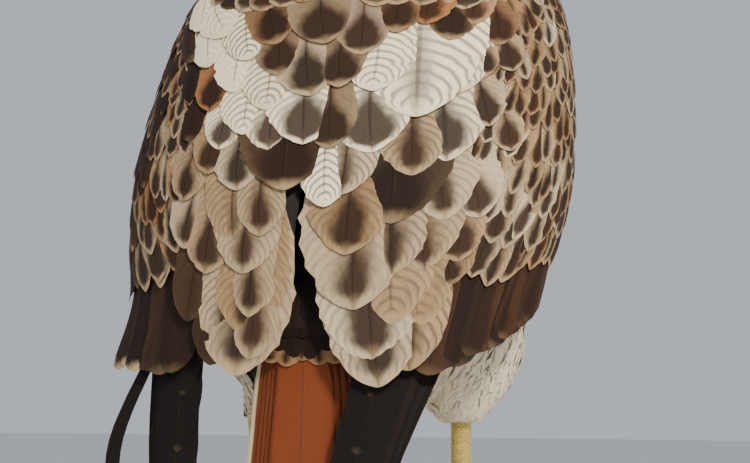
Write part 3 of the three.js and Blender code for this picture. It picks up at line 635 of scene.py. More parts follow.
# How a large feather is painted (white, dark, rust) and marked (bars, spot, edge)
LOOKS = {
    "blotch": ((0.14, 0, 0.05), (0.25, 0.7, 0.3)),
    "deep": ((0.03, 0.4, 0.1), (0.15, 0.95, 0.45)),
    "dusk": ((0, 0.82, 0.05), (0, 0.7, 0.7)),
    "pale": ((0.85, 0, 0.03), (0.8, 0.6, 0.1)),
    "arched": ((1, 0, 0.02), (0.95, 0.14, 0.1)),
    "white": ((1, 0, 0.02), (0.85, 0, 0.1)),
    "creamy": ((1, 0, 0.12), (0.3, 0, 0.1)),
    "grey": ((0.12, 0, 0), (0.4, 0.48, 0.35)),
    "buff": ((0.1, 0, 0), (0.5, 0.5, 0.25)),
    "barred": ((0.08, 0, 0), (0.7, 0.15, 0.25)),
    "rust": ((0.05, 0, 0.5), (0.1, 0.8, 0.3)),
    "covert": ((0.08, 0, 0.06), (0.3, 0.55, 0.2)),
    "dull": ((0, 0.95, 0.02), (0.1, 0.2, 0.12)),
    "shade": ((0, 1, 0), (0, 0, 0)),
    "band": ((0, 0.25, 0.35), (0, 0.2, 0.3)),
    "tipped": ((0, 0.97, 0), (0, 0, 1)),
    "flight": ((0, 1, 0), (0.05, 0, 0.38)),
    "ivory": ((1, 0, 0.08), (0, 0, 0)),
}

SCAPULAR_SPREAD = 1.2
# Large feathers of the back, seen in the photo: tip x, tip y, root x (pixels), width, length (mm), look
SCAPULARS = [
    (449, 42, 440, 24, 40, "deep"), (497, 46, 478, 20, 36, "deep"), (472, 26, 456, 20, 36, "rust"),
    (395, 34, 392, 26, 40, "deep"), (425, 26, 420, 24, 40, "rust"), (362, 56, 364, 26, 44, "deep"),
    (512, 74, 494, 16, 34, "covert"), (372, 92, 380, 36, 54, "white"), (458, 96, 446, 34, 54, "white"),
    (417, 120, 414, 62, 78, "arched"), (480, 80, 468, 20, 40, "blotch"),
    (372, 155, 376, 42, 60, "pale"), (446, 162, 436, 40, 60, "pale"),
    (412, 176, 406, 32, 54, "buff"), (489, 128, 472, 20, 42, "blotch"), (510, 152, 494, 16, 36, "covert"),
    (391, 224, 386, 54, 72, "dusk"), (479, 218, 460, 24, 48, "blotch"), (444, 220, 432, 34, 54, "buff"),
    (342, 196, 350, 28, 56, "buff"), (345, 256, 349, 36, 62, "grey"), (424, 270, 414, 38, 62, "buff"),
    (392, 274, 390, 36, 62, "barred"), (458, 262, 444, 24, 48, "covert"), (449, 285, 440, 14, 30, "deep"),
    (354, 311, 354, 44, 80, "grey"), (392, 326, 390, 36, 78, "barred"), (374, 362, 372, 44, 86, "grey"),
    (420, 330, 410, 34, 74, "barred"), (380, 388, 378, 40, 94, "grey"), (410, 372, 406, 40, 92, "barred"),
    (280, 46, 284, 26, 42, "deep"), (329, 46, 328, 30, 44, "deep"), (280, 78, 286, 26, 44, "deep"),
    (313, 98, 312, 32, 50, "blotch"), (340, 90, 342, 22, 44, "deep"), (304, 146, 306, 36, 54, "pale"),
    (285, 192, 290, 46, 66, "dusk"), (330, 150, 332, 22, 46, "deep"), (206, 32, 222, 22, 40, "creamy"),
    (232, 36, 246, 24, 42, "creamy"), (252, 62, 264, 26, 44, "white"), (212, 68, 230, 22, 42, "creamy"),
    (236, 94, 250, 26, 44, "creamy"), (268, 112, 276, 30, 50, "white"), (212, 112, 230, 22, 42, "rust"),
    (244, 136, 256, 28, 48, "white"), (270, 152, 278, 30, 52, "pale"), (220, 150, 236, 22, 42, "pale"),
    (210, 176, 226, 22, 44, "blotch"), (187, 202, 204, 20, 42, "covert"), (240, 192, 252, 26, 50, "buff"),
    (326, 208, 324, 20, 56, "white"), (208, 274, 226, 26, 58, "blotch"), (245, 275, 258, 30, 62, "grey"),
    (236, 242, 250, 28, 56, "buff"), (261, 238, 272, 22, 58, "buff"), (186, 250, 204, 22, 46, "covert"),
    (245, 335, 258, 32, 68, "grey"), (222, 340, 240, 30, 64, "barred"), (251, 318, 261, 20, 62, "grey"),
    (238, 376, 250, 42, 94, "grey"), (251, 360, 261, 20, 86, "grey"), (212, 366, 232, 24, 72, "dull"),
    # The narrow dull feathers near x 192, y 64 to 144 are dark as painted shade between the back's feathers
    # and the left wing's coverts.
    (190, 322, 210, 22, 56, "dull"), (196, 64, 207, 12, 36, "dull"), (192, 104, 204, 12, 36, "dull"),
    (191, 144, 204, 12, 36, "dull"),
]

# Rows of smaller feathers down the folded wing, from the shoulder:
# tip height, root height, first and last angle, count, width, lean outwards of the root, look
WING_ROWS = [
    (298, 322, 30, 104, 12, 14, 0, "covert"), (288, 314, 40, 112, 12, 14, 0, "covert"),
    (277, 304, 42, 116, 13, 14, 0, "covert"), (266, 293, 42, 118, 14, 14, 1, "covert"),
    (255, 282, 42, 118, 14, 14, 1, "covert"), (244, 271, 41, 117, 14, 14, 2, "covert"),
    (233, 261, 40, 116, 14, 14, 3, "covert"), (222, 251, 39, 115, 14, 14, 4, "covert"),
    (210, 241, 38, 113, 13, 14.5, 5, "covert"), (198, 231, 37, 111, 13, 15, 6, "covert"),
    (185, 221, 36, 108, 12, 16, 7, "covert"), (171, 210, 36, 104, 12, 17, 8, "covert"),
    (156, 200, 36, 101, 11, 18.5, 9, "blotch"), (139, 188, 38, 97, 10, 20, 9, "blotch"),
]
# The same for the short feathers round the shoulders, without the lean
MANTLE_ROWS = [
    (276, 312, 8, 50, 6, 20, "blotch"), (286, 318, 4, 58, 8, 18, "deep"), (295, 324, 4, 60, 9, 17, "rust"),
    (303, 329, 4, 60, 9, 16, "deep"), (309, 332, 4, 60, 9, 15, "deep"),
]
# Distances of the innermost and the outermost primary from the midline at three heights
PRIMARY_PATHS = {
    "left": {"root": (62, 84), "middle": (64, 75), "tip": (56, 48)},
    "right": {"root": (52, 76), "middle": (25, 34), "tip": (9, 11)},
}
# Heights of the primaries' roots and middles, and of the shortest and the longest one's tips
PRIMARY_HEIGHTS = {"root": 138, "middle": 51, "shortest": 88, "longest": -92}
PRIMARY_COUNT = 10
SECONDARY_COUNT = 11
# A thin feather of the left wing stands out from its primaries by this much
STRAY_FEATHER_OUT = 29


def paint_of(look, rng, spread=0.08):
    """A look's paint and marks, each shifted a little, but darkness less than the rest."""
    values = np.array(LOOKS[look]).ravel()
    shift = rng.normal(0, spread, 6) * np.array([1, 0.3, 1, 1, 1, 1]) * (values > 0)
    values = np.clip(values + shift, 0, 1)
    return values[:3], values[3:]


def lay_feather(coat, atlas, side, root, tip, width, look, lifts, rng, **shape):
    """One large feather over the folded wings; root and tip are (angle, height)."""
    bow = rng.normal(0, 0.012)
    sink = rng.normal(0, 0.12)

    def place(angle, z, lift):
        return mantle(side, angle, z, lift)

    def path(t):
        angle = toward(root[0], tip[0], t) + bow * np.sin(math.pi * t)
        return angle, toward(root[1], tip[1], t), toward(*lifts, t**0.8) + sink * t

    length = np.linalg.norm(place(*path(np.array([0.0])))[0] - place(*path(np.array([1.0])))[0])
    options = {"rows": 13, "columns": 7, "roll": -0.05 * side, "camber": 0.7, **shape}
    vane = vane_grid(place, path, width, length, rng, **options)
    coat.add(*vane, rng.random(), *paint_of(look, rng, 0.13), atlas.cell())


def covert_look(look, side, angle, z, rng):
    """Most outer coverts of the left wing are dark, painted shade on the side away from the light; elsewhere
    some are rust or buff.
    """
    # Painted shade: the left wing's outer coverts mostly get the dark dull look.
    if side > 0 and angle > 1.02 + 0.2 * blend(z, 230, 280) and rng.random() < 0.8:
        return "rust" if rng.random() < 0.15 else "dull"
    if rng.random() < 0.4:
        return "rust" if side > 0 and rng.random() < 0.4 else "buff"
    return look


def wing_coverts(side, word, rng):
    """The small feathers and the secondaries of one wing."""
    coat = Coat(f"wing_coverts_{word}")
    atlas = Atlas(225)
    for tip_z, root_z, first, last, count, width, lean, row_look in WING_ROWS:
        lifts = (-2.6, 0.9 if tip_z > 150 else 0.3)
        for i in range(count):
            u = (i + 0.5 + rng.normal(0, 0.22)) / count
            angle = math.radians(toward(first, last, u))
            fall = 10 * (u - 0.5) ** 2 + rng.normal(0, 3.2)
            if side < 0:
                fall += RIGHT_RAISED * 0.5 * u * blend(-tip_z, -200, -140)
            look = covert_look(row_look, side, angle, tip_z, rng)
            tip = (angle, tip_z + fall)
            root = (angle + math.radians(lean + rng.normal(0, 2.0)), root_z + fall)
            lay_feather(coat, atlas, side, root, tip, width * rng.uniform(0.8, 1.5), look, lifts, rng,
                        rows=12, columns=5, blunt=2.2, point=0.8, ragged=0.05)
    for i in range(SECONDARY_COUNT):
        u = i / (SECONDARY_COUNT - 1)
        raised = RIGHT_RAISED * u if side < 0 else 0
        tip = (math.radians(38 + 42 * u), 98 + 3 * u + raised + rng.normal(0, 1.0))
        root = (math.radians(43 + 46 * u), 156 - 2 * u + raised * 0.6)
        look = "tipped" if side > 0 and i > 3 else "dull"
        lay_feather(coat, atlas, side, root, tip, 23, look, (-3.4, -0.3), rng, rows=14)
    return coat


def primaries(side, word, rng):
    """The long dark feathers at the end of one wing, fanned along three heights."""
    coat = Coat(f"primaries_{word}")
    atlas = Atlas(16)
    heights = PRIMARY_HEIGHTS
    root_z = heights["root"]
    levels = [root_z, heights["middle"], heights["longest"]]
    made = [(i / (PRIMARY_COUNT - 1), None, 26, 0) for i in range(PRIMARY_COUNT)]
    if side > 0:
        made.append((0.9, 4, 9, STRAY_FEATHER_OUT))
    for u, tip_z, width, apart in made:
        depth = -3.4 - 6.0 * u
        fit = np.polyfit(levels, [toward(*ends, u) for ends in PRIMARY_PATHS[word].values()], 2)
        if tip_z is None:
            tip_z = toward(heights["shortest"], heights["longest"], 1 - (1 - u) ** 1.4)

        def place(x, z, lift, apart=apart):
            point = mantle(side, angle_at(x, z), z, lift, droop=False)
            point[..., 0] += side * apart * blend(root_z - z, 0, root_z - heights["middle"])
            return point

        def path(t, fit=fit, tip_z=tip_z, depth=depth):
            z = toward(root_z, tip_z, t)
            return np.polyval(fit, z), z, depth + 0 * t

        vane = vane_grid(place, path, width, root_z - tip_z, rng, 26, 9, roll=-0.01 * side, camber=0.7,
                         ragged=0.01, blunt=2.6, root=0.8)
        paint, extra = paint_of("flight", rng, 0.03)
        # A primary's tip has hardly any pale fringe
        extra[2] *= 0.25
        coat.add(*vane, rng.random(), paint, extra, atlas.cell(), thick=0.3)
    return coat


def scapulars(photo, rng):
    """The large patterned feathers of the back, each where the photo shows it."""
    coat = Coat("back_feathers")
    atlas = Atlas(len(SCAPULARS) + 90)
    for px, py, root_px, width, length, look in sorted(SCAPULARS, key=lambda one: -one[1]):
        side, angle, tip_z = photo.find(px, py)
        root_angle = photo.find(root_px, py - length / MM_PER_PIXEL, side)[1]
        lifts = (-2.2 - 0.012 * length, 2.8 if look == "arched" else 2.0)
        lay_feather(coat, atlas, side, (root_angle, tip_z + length), (angle, tip_z), width * SCAPULAR_SPREAD,
                    look, lifts, rng, rows=24, columns=9, camber=1.0, blunt=1.45, point=0.68, ragged=0.03)
    for side in (1, -1):
        for tip_z, root_z, first, last, count, width, look in MANTLE_ROWS:
            for i in range(count):
                u = (i + 0.5 + rng.normal(0, 0.1)) / count
                angle = math.radians(toward(first, last, u))
                tip = (angle, tip_z + rng.normal(0, 1.5))
                root = (angle * 0.9, root_z)
                lay_feather(coat, atlas, side, root, tip, width, look, (-2.4, 1.6), rng, rows=11)
    return coat


# The wing's own body: the heights it spans, its depth under the wing's surface, its thickness
BED_BOTTOM = 113
BED_TOP = 304
BED_DEPTH = 5.4
BED_THICKNESS = 3.0


def wing_bed(side, word, material):
    """The wing's own thickness under its feathers, kept out of sight; its material paints its back near
    black as shade.
    """
    levels = 28
    columns = 15
    rows = np.linspace(BED_BOTTOM, BED_TOP, levels)
    inner_x, lead = sections(WING_EDGES, rows)
    if side < 0:
        lead = lead - 24 * blend(-rows, -150, -112)
    first = angle_at(inner_x + 2, rows)[:, None]
    share = np.linspace(0, 1, columns)
    angle = toward(first, np.radians(lead - 4)[:, None], share)
    height = np.broadcast_to(rows[:, None], angle.shape)
    level = np.linspace(0, 1, levels)[:, None]
    edge = np.minimum(1, 4 * np.minimum(share, 1 - share)) * np.minimum(1, 5 * np.minimum(level, 1 - level))
    outer = mantle(side, angle, height, -BED_DEPTH)
    inner = mantle(side, angle, height, -BED_DEPTH - 0.3 - BED_THICKNESS * edge)
    count = levels * columns
    verts = np.concatenate([outer.reshape(-1, 3), inner.reshape(-1, 3)])
    index = np.arange(count).reshape(levels, columns)
    faces = [*quads(index)[:, ::side], *quads(index + count)[:, ::-side]]
    rim = list(index[0]) + list(index[1:, -1]) + list(index[-1, -2::-1]) + list(index[-2:0:-1, 0])
    for a, b in zip(rim, rim[1:] + rim[:1]):
        faces.append((b, a, a + count, b + count)[::side])
    return add_mesh(f"wing_bed_{word}", to_world(verts), faces, material)


TAIL_DEPTH = -13
TAIL_ROOT_Z = 108
TAIL_TIP_Z = -137
TAIL_PAIRS = 6
TAIL_WIDTH = 36
# How much further out, deeper and shorter each pair is than the one before
TAIL_FAN = 3.4
TAIL_STACK = 1.15
TAIL_STEP = 2.2


def tail_point(x, z, lift):
    """A point of the tail: a shallow roof that lies inside the line of the wings."""
    y = sections(MANTLE, z)[3] + TAIL_DEPTH + lift - 0.08 * np.abs(x)
    return np.stack([x + 0 * z, y, z + 0 * x], axis=-1)


def tail_feathers(rng):
    """Pairs of long feathers, the middle one uppermost; the outermost has pale edges."""
    coat = Coat("tail_feathers")
    atlas = Atlas(2 * TAIL_PAIRS)
    for pair in range(TAIL_PAIRS):
        for side in (1, -1):
            offset = 3 + TAIL_FAN * pair if pair else 2
            depth = -0.4 if pair == 0 and side > 0 else -1.55 - TAIL_STACK * pair
            tip_z = TAIL_TIP_Z + TAIL_STEP * pair

            def path(t, side=side, offset=offset, depth=depth, tip_z=tip_z):
                x = side * offset * (0.7 + 0.3 * t)
                return x, toward(TAIL_ROOT_Z, tip_z, t), depth + 0 * t

            grid, outward, along, across = vane_grid(
                tail_point, path, TAIL_WIDTH, TAIL_ROOT_Z - tip_z, rng, 30, 9, camber=0.5, ragged=0.006,
                blunt=0.7, root=0.75,
            )
            if (grid[5, -1, 0] - grid[5, 0, 0]) * side < 0:
                across = -across
            white = 0.9 if pair == TAIL_PAIRS - 1 else 0.0
            coat.add(grid, outward, along, across, rng.random(), (white, 0, 0), (0, 0, 0), atlas.cell(),
                     thick=0.35)
    return coat


def tail_coverts(rng):
    """Feathers over the tail's root, the upper rows dark as painted shade, the lowest with rust, and soft
    white ones under it.
    """
    coat = Coat("tail_coverts")
    atlas = Atlas(64)

    def lay(x, z, length, width, lift, look, flip=1):
        def path(t):
            return x * (0.75 + 0.35 * t), z - length * t, toward(*lift, t)

        grid, outward, along, across = vane_grid(
            tail_point, path, width, length, rng, 11, 7, camber=0.9 * flip
        )
        coat.add(grid, outward * flip, along, across, rng.random(), *paint_of(look, rng), atlas.cell())

    for row in range(4):
        for i in range(6):
            x = -20 + 8 * i + (row % 2) * 4 - 2
            z = 124 + 6 * row
            lay(x, z + rng.normal(0, 1.5), 22, 15, (-1.5, 0.9 + 0.3 * row), "shade" if row else "band")
    for row in range(6):
        for i in range(5):
            x = -20 + 10 * i + (row % 2) * 5 - 2.5
            z = 66 + 10 * row
            lay(x, z + rng.normal(0, 2), 46, 20, (-12.5, -10 - 1.4 * row), "ivory", -1)
    return coat


FLESH = ("torso", "neck", "head", "thigh_left", "thigh_right")
# How far the flesh is grown before its voxels are welded, and their size, in metres
FLESH_SWELL = 0.0006
VOXEL = 0.0026
# Places at which a small feather is tried; most lie too close to another one
SMALL_FEATHER_TRIES = 70000
SMALL_FEATHER_ROWS = 8
# Kept roots are looked up in cubes of this side, more than the widest gap between two
CELL = 5
# The side of the square that a small feather has on the unwrapped skin
SMALL_CELL = 0.003


def flesh():
    """One closed skin over trunk, neck, head and thighs, a little inside their solids."""
    verts = []
    faces = []
    for name in FLESH:
        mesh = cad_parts[name].data
        start = len(verts)
        verts.extend(v.co.copy() for v in mesh.vertices)
        faces.extend([start + i for i in p.vertices] for p in mesh.polygons)
    skin = add_mesh("skin", verts, faces)
    swell = skin.modifiers.new("swell", "DISPLACE")
    swell.strength = FLESH_SWELL
    swell.mid_level = 0
    weld = skin.modifiers.new("weld", "REMESH")
    weld.mode = "VOXEL"
    weld.voxel_size = VOXEL
    weld.use_smooth_shade = True
    ease = skin.modifiers.new("ease", "SMOOTH")
    ease.factor = 0.5
    ease.iterations = 6
    graph = bpy.context.evaluated_depsgraph_get()
    mesh = bpy.data.meshes.new_from_object(skin.evaluated_get(graph))
    skin.modifiers.clear()
    skin.data = mesh
    points = read(mesh.vertices, "co", 3)
    normals = read(mesh.vertex_normals, "vector", 3)
    points = points - normals * (coat_depth(to_bird(points)) * MM)[:, None]
    mesh.vertices.foreach_set("co", points.ravel())
    mesh.update()
    mesh.polygons.foreach_set("use_smooth", [True] * len(mesh.polygons))
    unwrap(mesh, to_bird(points))
    return skin


def coat_depth(points):
    """How far the skin lies inside the solids: little on the face, more on the breast."""
    return 4.2 - 2.4 * blend(points[..., 2], 300, 350)


def unwrap_place(points):
    """A point's place on the unwrapped skin: round the body and from crown to leg."""
    x, y, z = points[..., 0], points[..., 1], points[..., 2]
    turn = np.arctan2(x, y + 20 - 0.12 * np.clip(200 - z, 0, 200)) / (2 * math.pi) + 0.5
    return np.stack([0.02 + 0.96 * turn, 0.02 + 0.96 * np.clip((z - 50) / 345, 0, 1)], -1)


def unwrap(mesh, points):
    layer = mesh.uv_layers.new(name="OFBake")
    index = read(mesh.loops, "vertex_index", 1, np.int32)[:, 0]
    layer.data.foreach_set("uv", unwrap_place(points)[index].astype(np.float32).ravel())


# Which way the feathers point by region
LIE = {
    "back": np.array([0.0, 0.42, -0.9]),
    "breast": np.array([0.0, 0.1, -1.0]),
    "leg": np.array([0.0, 0.12, -1.0]),
    "head": np.array([0.0, 0.86, -0.5]),
    "crown": np.array([0.0, 1.0, -0.1]),
}


def lie(p):
    """Which way the feathers point at a place on the body; on the face, away from the bill."""
    x, y, z = p
    face = np.array([0.25 * max(-1, min(1, x / 8)), 0.8, -0.55 + 0.6 * blend(z, 350, 361)])
    way = toward(LIE["back"], LIE["breast"], blend(-y, 20, 60))
    way = toward(way, LIE["leg"], blend(-z, -110, -80))
    way = toward(way, LIE["head"], blend(z, 300, 345))
    way = toward(way, LIE["crown"], blend(z, 366, 384))
    return unit(toward(way, face, blend(-y, 50, 66) * blend(z, 325, 345)))


def size_at(p):
    """A small feather's length and width at a place on the body: longest on the belly, shorter up
    to the crown, very short on the face and least round the eye, narrow on the legs."""
    x, y, z = p
    length = 26 - 10 * blend(z, 200, 300) - 6.5 * blend(z, 305, 355)
    length -= 3.5 * blend(z, 340, 380)
    length = toward(length, 4.2, blend(-y, 44, 62) * blend(z, 322, 338))
    near_eye = math.dist((abs(x), y, z), (27, -52, 360.5))
    length = toward(length, 2.6, 1 - blend(near_eye, 7, 18))
    length = toward(length, 19, blend(-z, -140, -100))
    width = length * (0.44 - 0.16 * blend(-z, -150, -110))
    return length, width


# Paint and marks of the small feathers by region: white, dark, rust, bars, spot, edge
BODY_LOOKS = {
    "cream": (0.93, 0, 0.08, 0, 0.06, 0),
    "flank": (0.92, 0, 0.12, 0, 0.12, 0),
    "streak": (0.85, 0, 0.2, 0.1, 0.5, 0.1),
    "throat": (0.75, 0.05, 0.1, 0, 0.55, 0.1),
    "cheek": (0.2, 0.1, 0.55, 0, 0.4, 0.4),
    "brow": (0.6, 0, 0.1, 0, 0.2, 0.2),
    "lore": (0.66, 0, 0.08, 0, 0.15, 0.05),
    "malar": (0, 0.7, 0.1, 0, 0.5, 0.2),
    "leg": (0.85, 0, 0.1, 0, 0.03, 0),
}
BODY_LOOKS = {key: np.array(value, float) for key, value in BODY_LOOKS.items()}


def colours_at(p, rng):
    """A small feather's paint and marks, blended from region to region."""
    x, y, z = p

    def around(spot, reach):
        return math.exp(-((math.dist((abs(x), y, z), spot) / reach) ** 2))

    front = blend(-y, -5, 35)
    head = blend(z, 296, 322)
    brown = np.array([0.05, 0.5, 0.18 + 0.2 * rng.random(), 0.0, 0.5, 0.4])
    look = toward(BODY_LOOKS["cream"], BODY_LOOKS["flank"], 1 - front)
    belly_band = math.exp(-(((z - 172) / 28) ** 2)) * front
    if rng.random() < belly_band * 0.95:
        look = BODY_LOOKS["streak"]
    look = toward(look, brown, blend(abs(x), 44, 66) * blend(z, 225, 265) * 0.8)
    look = toward(look, brown, head)
    throat = blend(-y, 46, 58) * blend(-abs(x), -22, -10) * blend(-z, -349, -338) * blend(z, 296, 312)
    look = toward(look, BODY_LOOKS["throat"], throat * head)
    look = toward(look, BODY_LOOKS["cheek"], around((27, -38, 345), 15) * 0.7)
    look = toward(look, BODY_LOOKS["brow"], around((24, -56, 371), 7) * 0.6)
    look = toward(look, BODY_LOOKS["lore"], blend(-y, 56, 67) * blend(z, 345, 351) * blend(-z, -372, -360))
    look = toward(look, BODY_LOOKS["malar"], around((23, -54, 338), 9) * 0.7)
    look = toward(look, BODY_LOOKS["leg"], blend(-z, -125, -95) * (1 - head))
    look = np.clip(look + rng.normal(0, 0.05, 6) * (look > 0.02), 0, 1)
    return look[:3], look[3:]


def covered(p):
    """Under the folded wings or the tail, where no feather of the body shows."""
    x, y, z = p
    if z > 296 or z < 96:
        return False
    half, _, middle, back = sections(MANTLE, z)
    angle = math.atan2(abs(x) / half, (y - middle) / max(1.0, back - middle))
    return math.degrees(angle) < sections(WING_EDGES, z)[1] - 22


def kept_near(cells, key):
    """The roots already kept in a cell and in those around it."""
    steps = (-1, 0, 1)
    for dx in steps:
        for dy in steps:
            for dz in steps:
                yield from cells.get((key[0] + dx, key[1] + dy, key[2] + dz), ())


def sprinkle(skin, count, rng):
    """Roots spread evenly over the skin, closer where the feathers are small."""
    mesh = skin.data
    mesh.calc_loop_triangles()
    triangles = read(mesh.loop_triangles, "vertices", 3, np.int32)
    corners = to_bird(read(mesh.vertices, "co", 3))[triangles]
    area = np.linalg.norm(np.cross(corners[:, 1] - corners[:, 0], corners[:, 2] - corners[:, 0]), axis=1)
    x, y, z = corners.mean(axis=1).T
    weight = area * (1 + blend(z, 290, 340) * 5 + blend(-y, 44, 58) * blend(z, 320, 335) * 14)
    chosen = rng.choice(len(area), size=count, p=weight / weight.sum())
    a, b = rng.random((2, count))
    swap = a + b > 1
    a[swap] = 1 - a[swap]
    b[swap] = 1 - b[swap]
    c = corners[chosen]
    spots = c[:, 0] + (c[:, 1] - c[:, 0]) * a[:, None] + (c[:, 2] - c[:, 0]) * b[:, None]
    kept = []
    cells = {}
    for spot in spots:
        if bare(spot) or covered(spot):
            continue
        gap = size_at(spot)[1] * (0.4 + 0.1 * blend(spot[2], 300, 330))
        key = tuple((spot // CELL).astype(int))
        if all(
            (spot[0] - q[0]) ** 2 + (spot[1] - q[1]) ** 2 + (spot[2] - q[2]) ** 2 > gap * gap
            for q in kept_near(cells, key)
        ):
            cells.setdefault(key, []).append(spot)
            kept.append(spot)
    return kept


def bare(p):
    """Where no feather grows: the eyes' rims, the ends of the legs and the bill."""
    x, y, z = p
    eye = math.dist((abs(x), y, z), (29, -52.5, 361)) < 7.8
    return eye or z < 76 or (y < -60 and math.hypot(x / 10.6, (z - 350) / 12.5) < 1)


def small_feather(coat, surface, root, rng):
    """A short curved vane that follows the skin from its root, rising from it towards its tip."""
    length, width = size_at(root)
    length *= rng.uniform(0.9, 1.12)
    point = Vector(to_world(root))
    near, normal, _, _ = surface.find_nearest(point)
    turn = rng.normal(0, 0.1 + 0.14 * blend(-root[2], -150, -110))
    way = Vector(lie(root))
    way = (way - normal * way.dot(normal)).normalized()
    way = (way + normal.cross(way) * turn).normalized()
    rise = min(length * (0.16 if root[2] < 300 else 0.2), coat_depth(root) * 0.92)
    stride = length * MM / (SMALL_FEATHER_ROWS - 1)
    t = np.linspace(0, 1, SMALL_FEATHER_ROWS)
    c = np.linspace(-1, 1, 3)
    spine = []
    sides = []
    ups = []
    for share in t:
        near, found, _, _ = surface.find_nearest(point)
        normal = (normal * 0.4 + found * 0.6).normalized()
        way = (way - normal * way.dot(normal)).normalized()
        lift = (-0.3 + rise * (1 - (1 - share) ** 1.5)) * MM
        spine.append(near + normal * lift)
        sides.append(way.cross(normal))
        ups.append(normal.copy())
        point = near + way * stride
    half = outline(t, width, length, root=0.5, blunt=1.6, point=0.95)
    ups = np.array(ups)
    arch = 0.1 * width * (1 - c**2) * half[:, None] / half.max()
    grid = to_bird(np.array(spine))[:, None] + np.array(sides)[:, None] * (half[:, None] * c)[..., None]
    grid += ups[:, None] * arch[..., None]
    cell = (unwrap_place(root) - SMALL_CELL / 2, (SMALL_CELL, SMALL_CELL))
    paint, extra = colours_at(root, rng)
    coat.add(grid, ups.mean(axis=0), t, c, rng.random(), paint, extra, cell, thick=0.12, soft=0.75)


def part_of(p):
    """The coat that a small feather belongs to."""
    x, y, z = p
    side = "left" if x > 0 else "right"
    for part, bottom in (("head", 322), ("neck", 262), ("breast", 160)):
        if z > bottom:
            return f"{part}_feathers_{side}"
    return f"belly_feathers_{side}"


def plumage(skin, rng):
    """The coats of small feathers, by name."""
    surface = BVHTree.FromObject(skin, bpy.context.evaluated_depsgraph_get())
    coats = {}
    for root in sprinkle(skin, SMALL_FEATHER_TRIES, rng):
        name = part_of(root)
        if name not in coats:
            coats[name] = Coat(name)
        small_feather(coats[name], surface, root, rng)
    return coats


def ring_mesh(name, rings, material, looped=False):
    """A closed skin over rings of equal length, capped at both ends or else looped back."""
    rings = np.asarray(rings, float)
    sheet = np.arange(rings[..., 0].size).reshape(rings.shape[:2])
    around = np.hstack([sheet, sheet[:, :1]])
    if looped:
        faces = quads(np.vstack([around, around[:1]]))
    else:
        faces = [*quads(around), sheet[0, ::-1], sheet[-1]]
    return add_mesh(name, to_world(rings.reshape(-1, 3)), faces, material)


def smooth_path(spots, count):
    """Points on a smooth curve through spots, whose rows may carry more numbers than x, y, z."""
    spots = np.asarray(spots, float)
    step = np.linalg.norm(np.diff(spots[:, :3], axis=0), axis=1)
    along = np.concatenate([[0], np.cumsum(step)])
    table = np.column_stack([along, spots])
    return sections(table, np.linspace(0, along[-1], count)).T


def limb_rings(spots, sides=24, count=24, shape=None):
    """Oval rings along a smooth curve; shape(share, turn) scales each point."""
    path = smooth_path(spots, count)
    centre = path[:, :3]
    ahead = unit(np.gradient(centre, axis=0))
    side = unit(np.array([1.0, 0, 0]) - ahead * ahead[:, :1])
    up = np.cross(side, ahead)
    turn = np.linspace(0, 2 * math.pi, sides, endpoint=False)
    scale = 1.0 if shape is None else shape(np.linspace(0, 1, count)[:, None], turn[None, :])
    across = path[:, 3][:, None] * np.cos(turn) * scale
    along = path[:, 4][:, None] * np.sin(turn) * scale
    return centre[:, None] + side[:, None] * across[..., None] + up[:, None] * along[..., None]


def mirrored(spots, side):
    """Spots given for the bird's left side, on either side."""
    return [(side * x, *rest) for x, *rest in spots]


MOUTH_Z = 343.8
EYE = (24.2, -50.5, 360.5)
EYE_RADIUS = 8.8
# The ball sits this far inside the place above, so that the lid stands out
EYE_SUNK = 1.6
EYE_RINGS = 24
# The lid's cross-section: distance from the eye's axis, and along it from the eye's centre
LID_SECTION = [
    (10.6, 1.2), (9.4, 3.6), (8.4, 5.2), (7.7, 6.0), (7.0, 6.2), (6.5, 5.9), (6.6, 5.3), (7.4, 4.2),
    (8.6, 2.0), (9.6, 0.4),
]
# A limb's spots are x, y, z and two half widths
CERE = [(0, -55, 352.8, 10.6, 10.4), (0, -64.5, 352.8, 9.6, 10.2), (0, -71.5, 352, 8.7, 9.6)]
BILL_UPPER = [
    (0, -69.5, 352, 8.3, 9.2), (0, -77, 351.4, 7.7, 8.7), (0, -82.5, 349.2, 6.4, 7.6),
    (0, -87, 345.4, 4.8, 5.9), (0, -90, 340.5, 3.2, 4.1), (0, -91, 335.8, 1.8, 2.3),
    (0, -90.4, 332, 0.4, 0.4),
]
BILL_LOWER = [
    (0, -56, 340.2, 8.4, 5), (0, -66, 339.8, 7.6, 5), (0, -75, 340.2, 5.6, 4), (0, -81.6, 341.6, 2.6, 1.7),
]
NOSTRIL = (9.6, -67.5, 355.4)
# How much of a distance from the nostril counts for its painted shade spot, by axis
NOSTRIL_SHADE_STRETCH = (0.2, 0.8, 1.15)
GAPE = [
    (11.4, -52, 343.2, 0.9, 0.8), (9.6, -60, 343.4, 1.2, 0.9), (8.4, -68, 343.5, 1.0, 0.7),
    (7.2, -74, 343.6, 0.5, 0.4),
]
BROW = [
    (18.3, -63.6, 363.1, 1.0, 0.9), (23.2, -59.2, 367, 2.4, 1.5), (27.2, -52, 369.4, 3.1, 1.7),
    (28.5, -44.5, 370.2, 2.5, 1.6), (27.9, -37, 369.8, 0.9, 0.9),
]


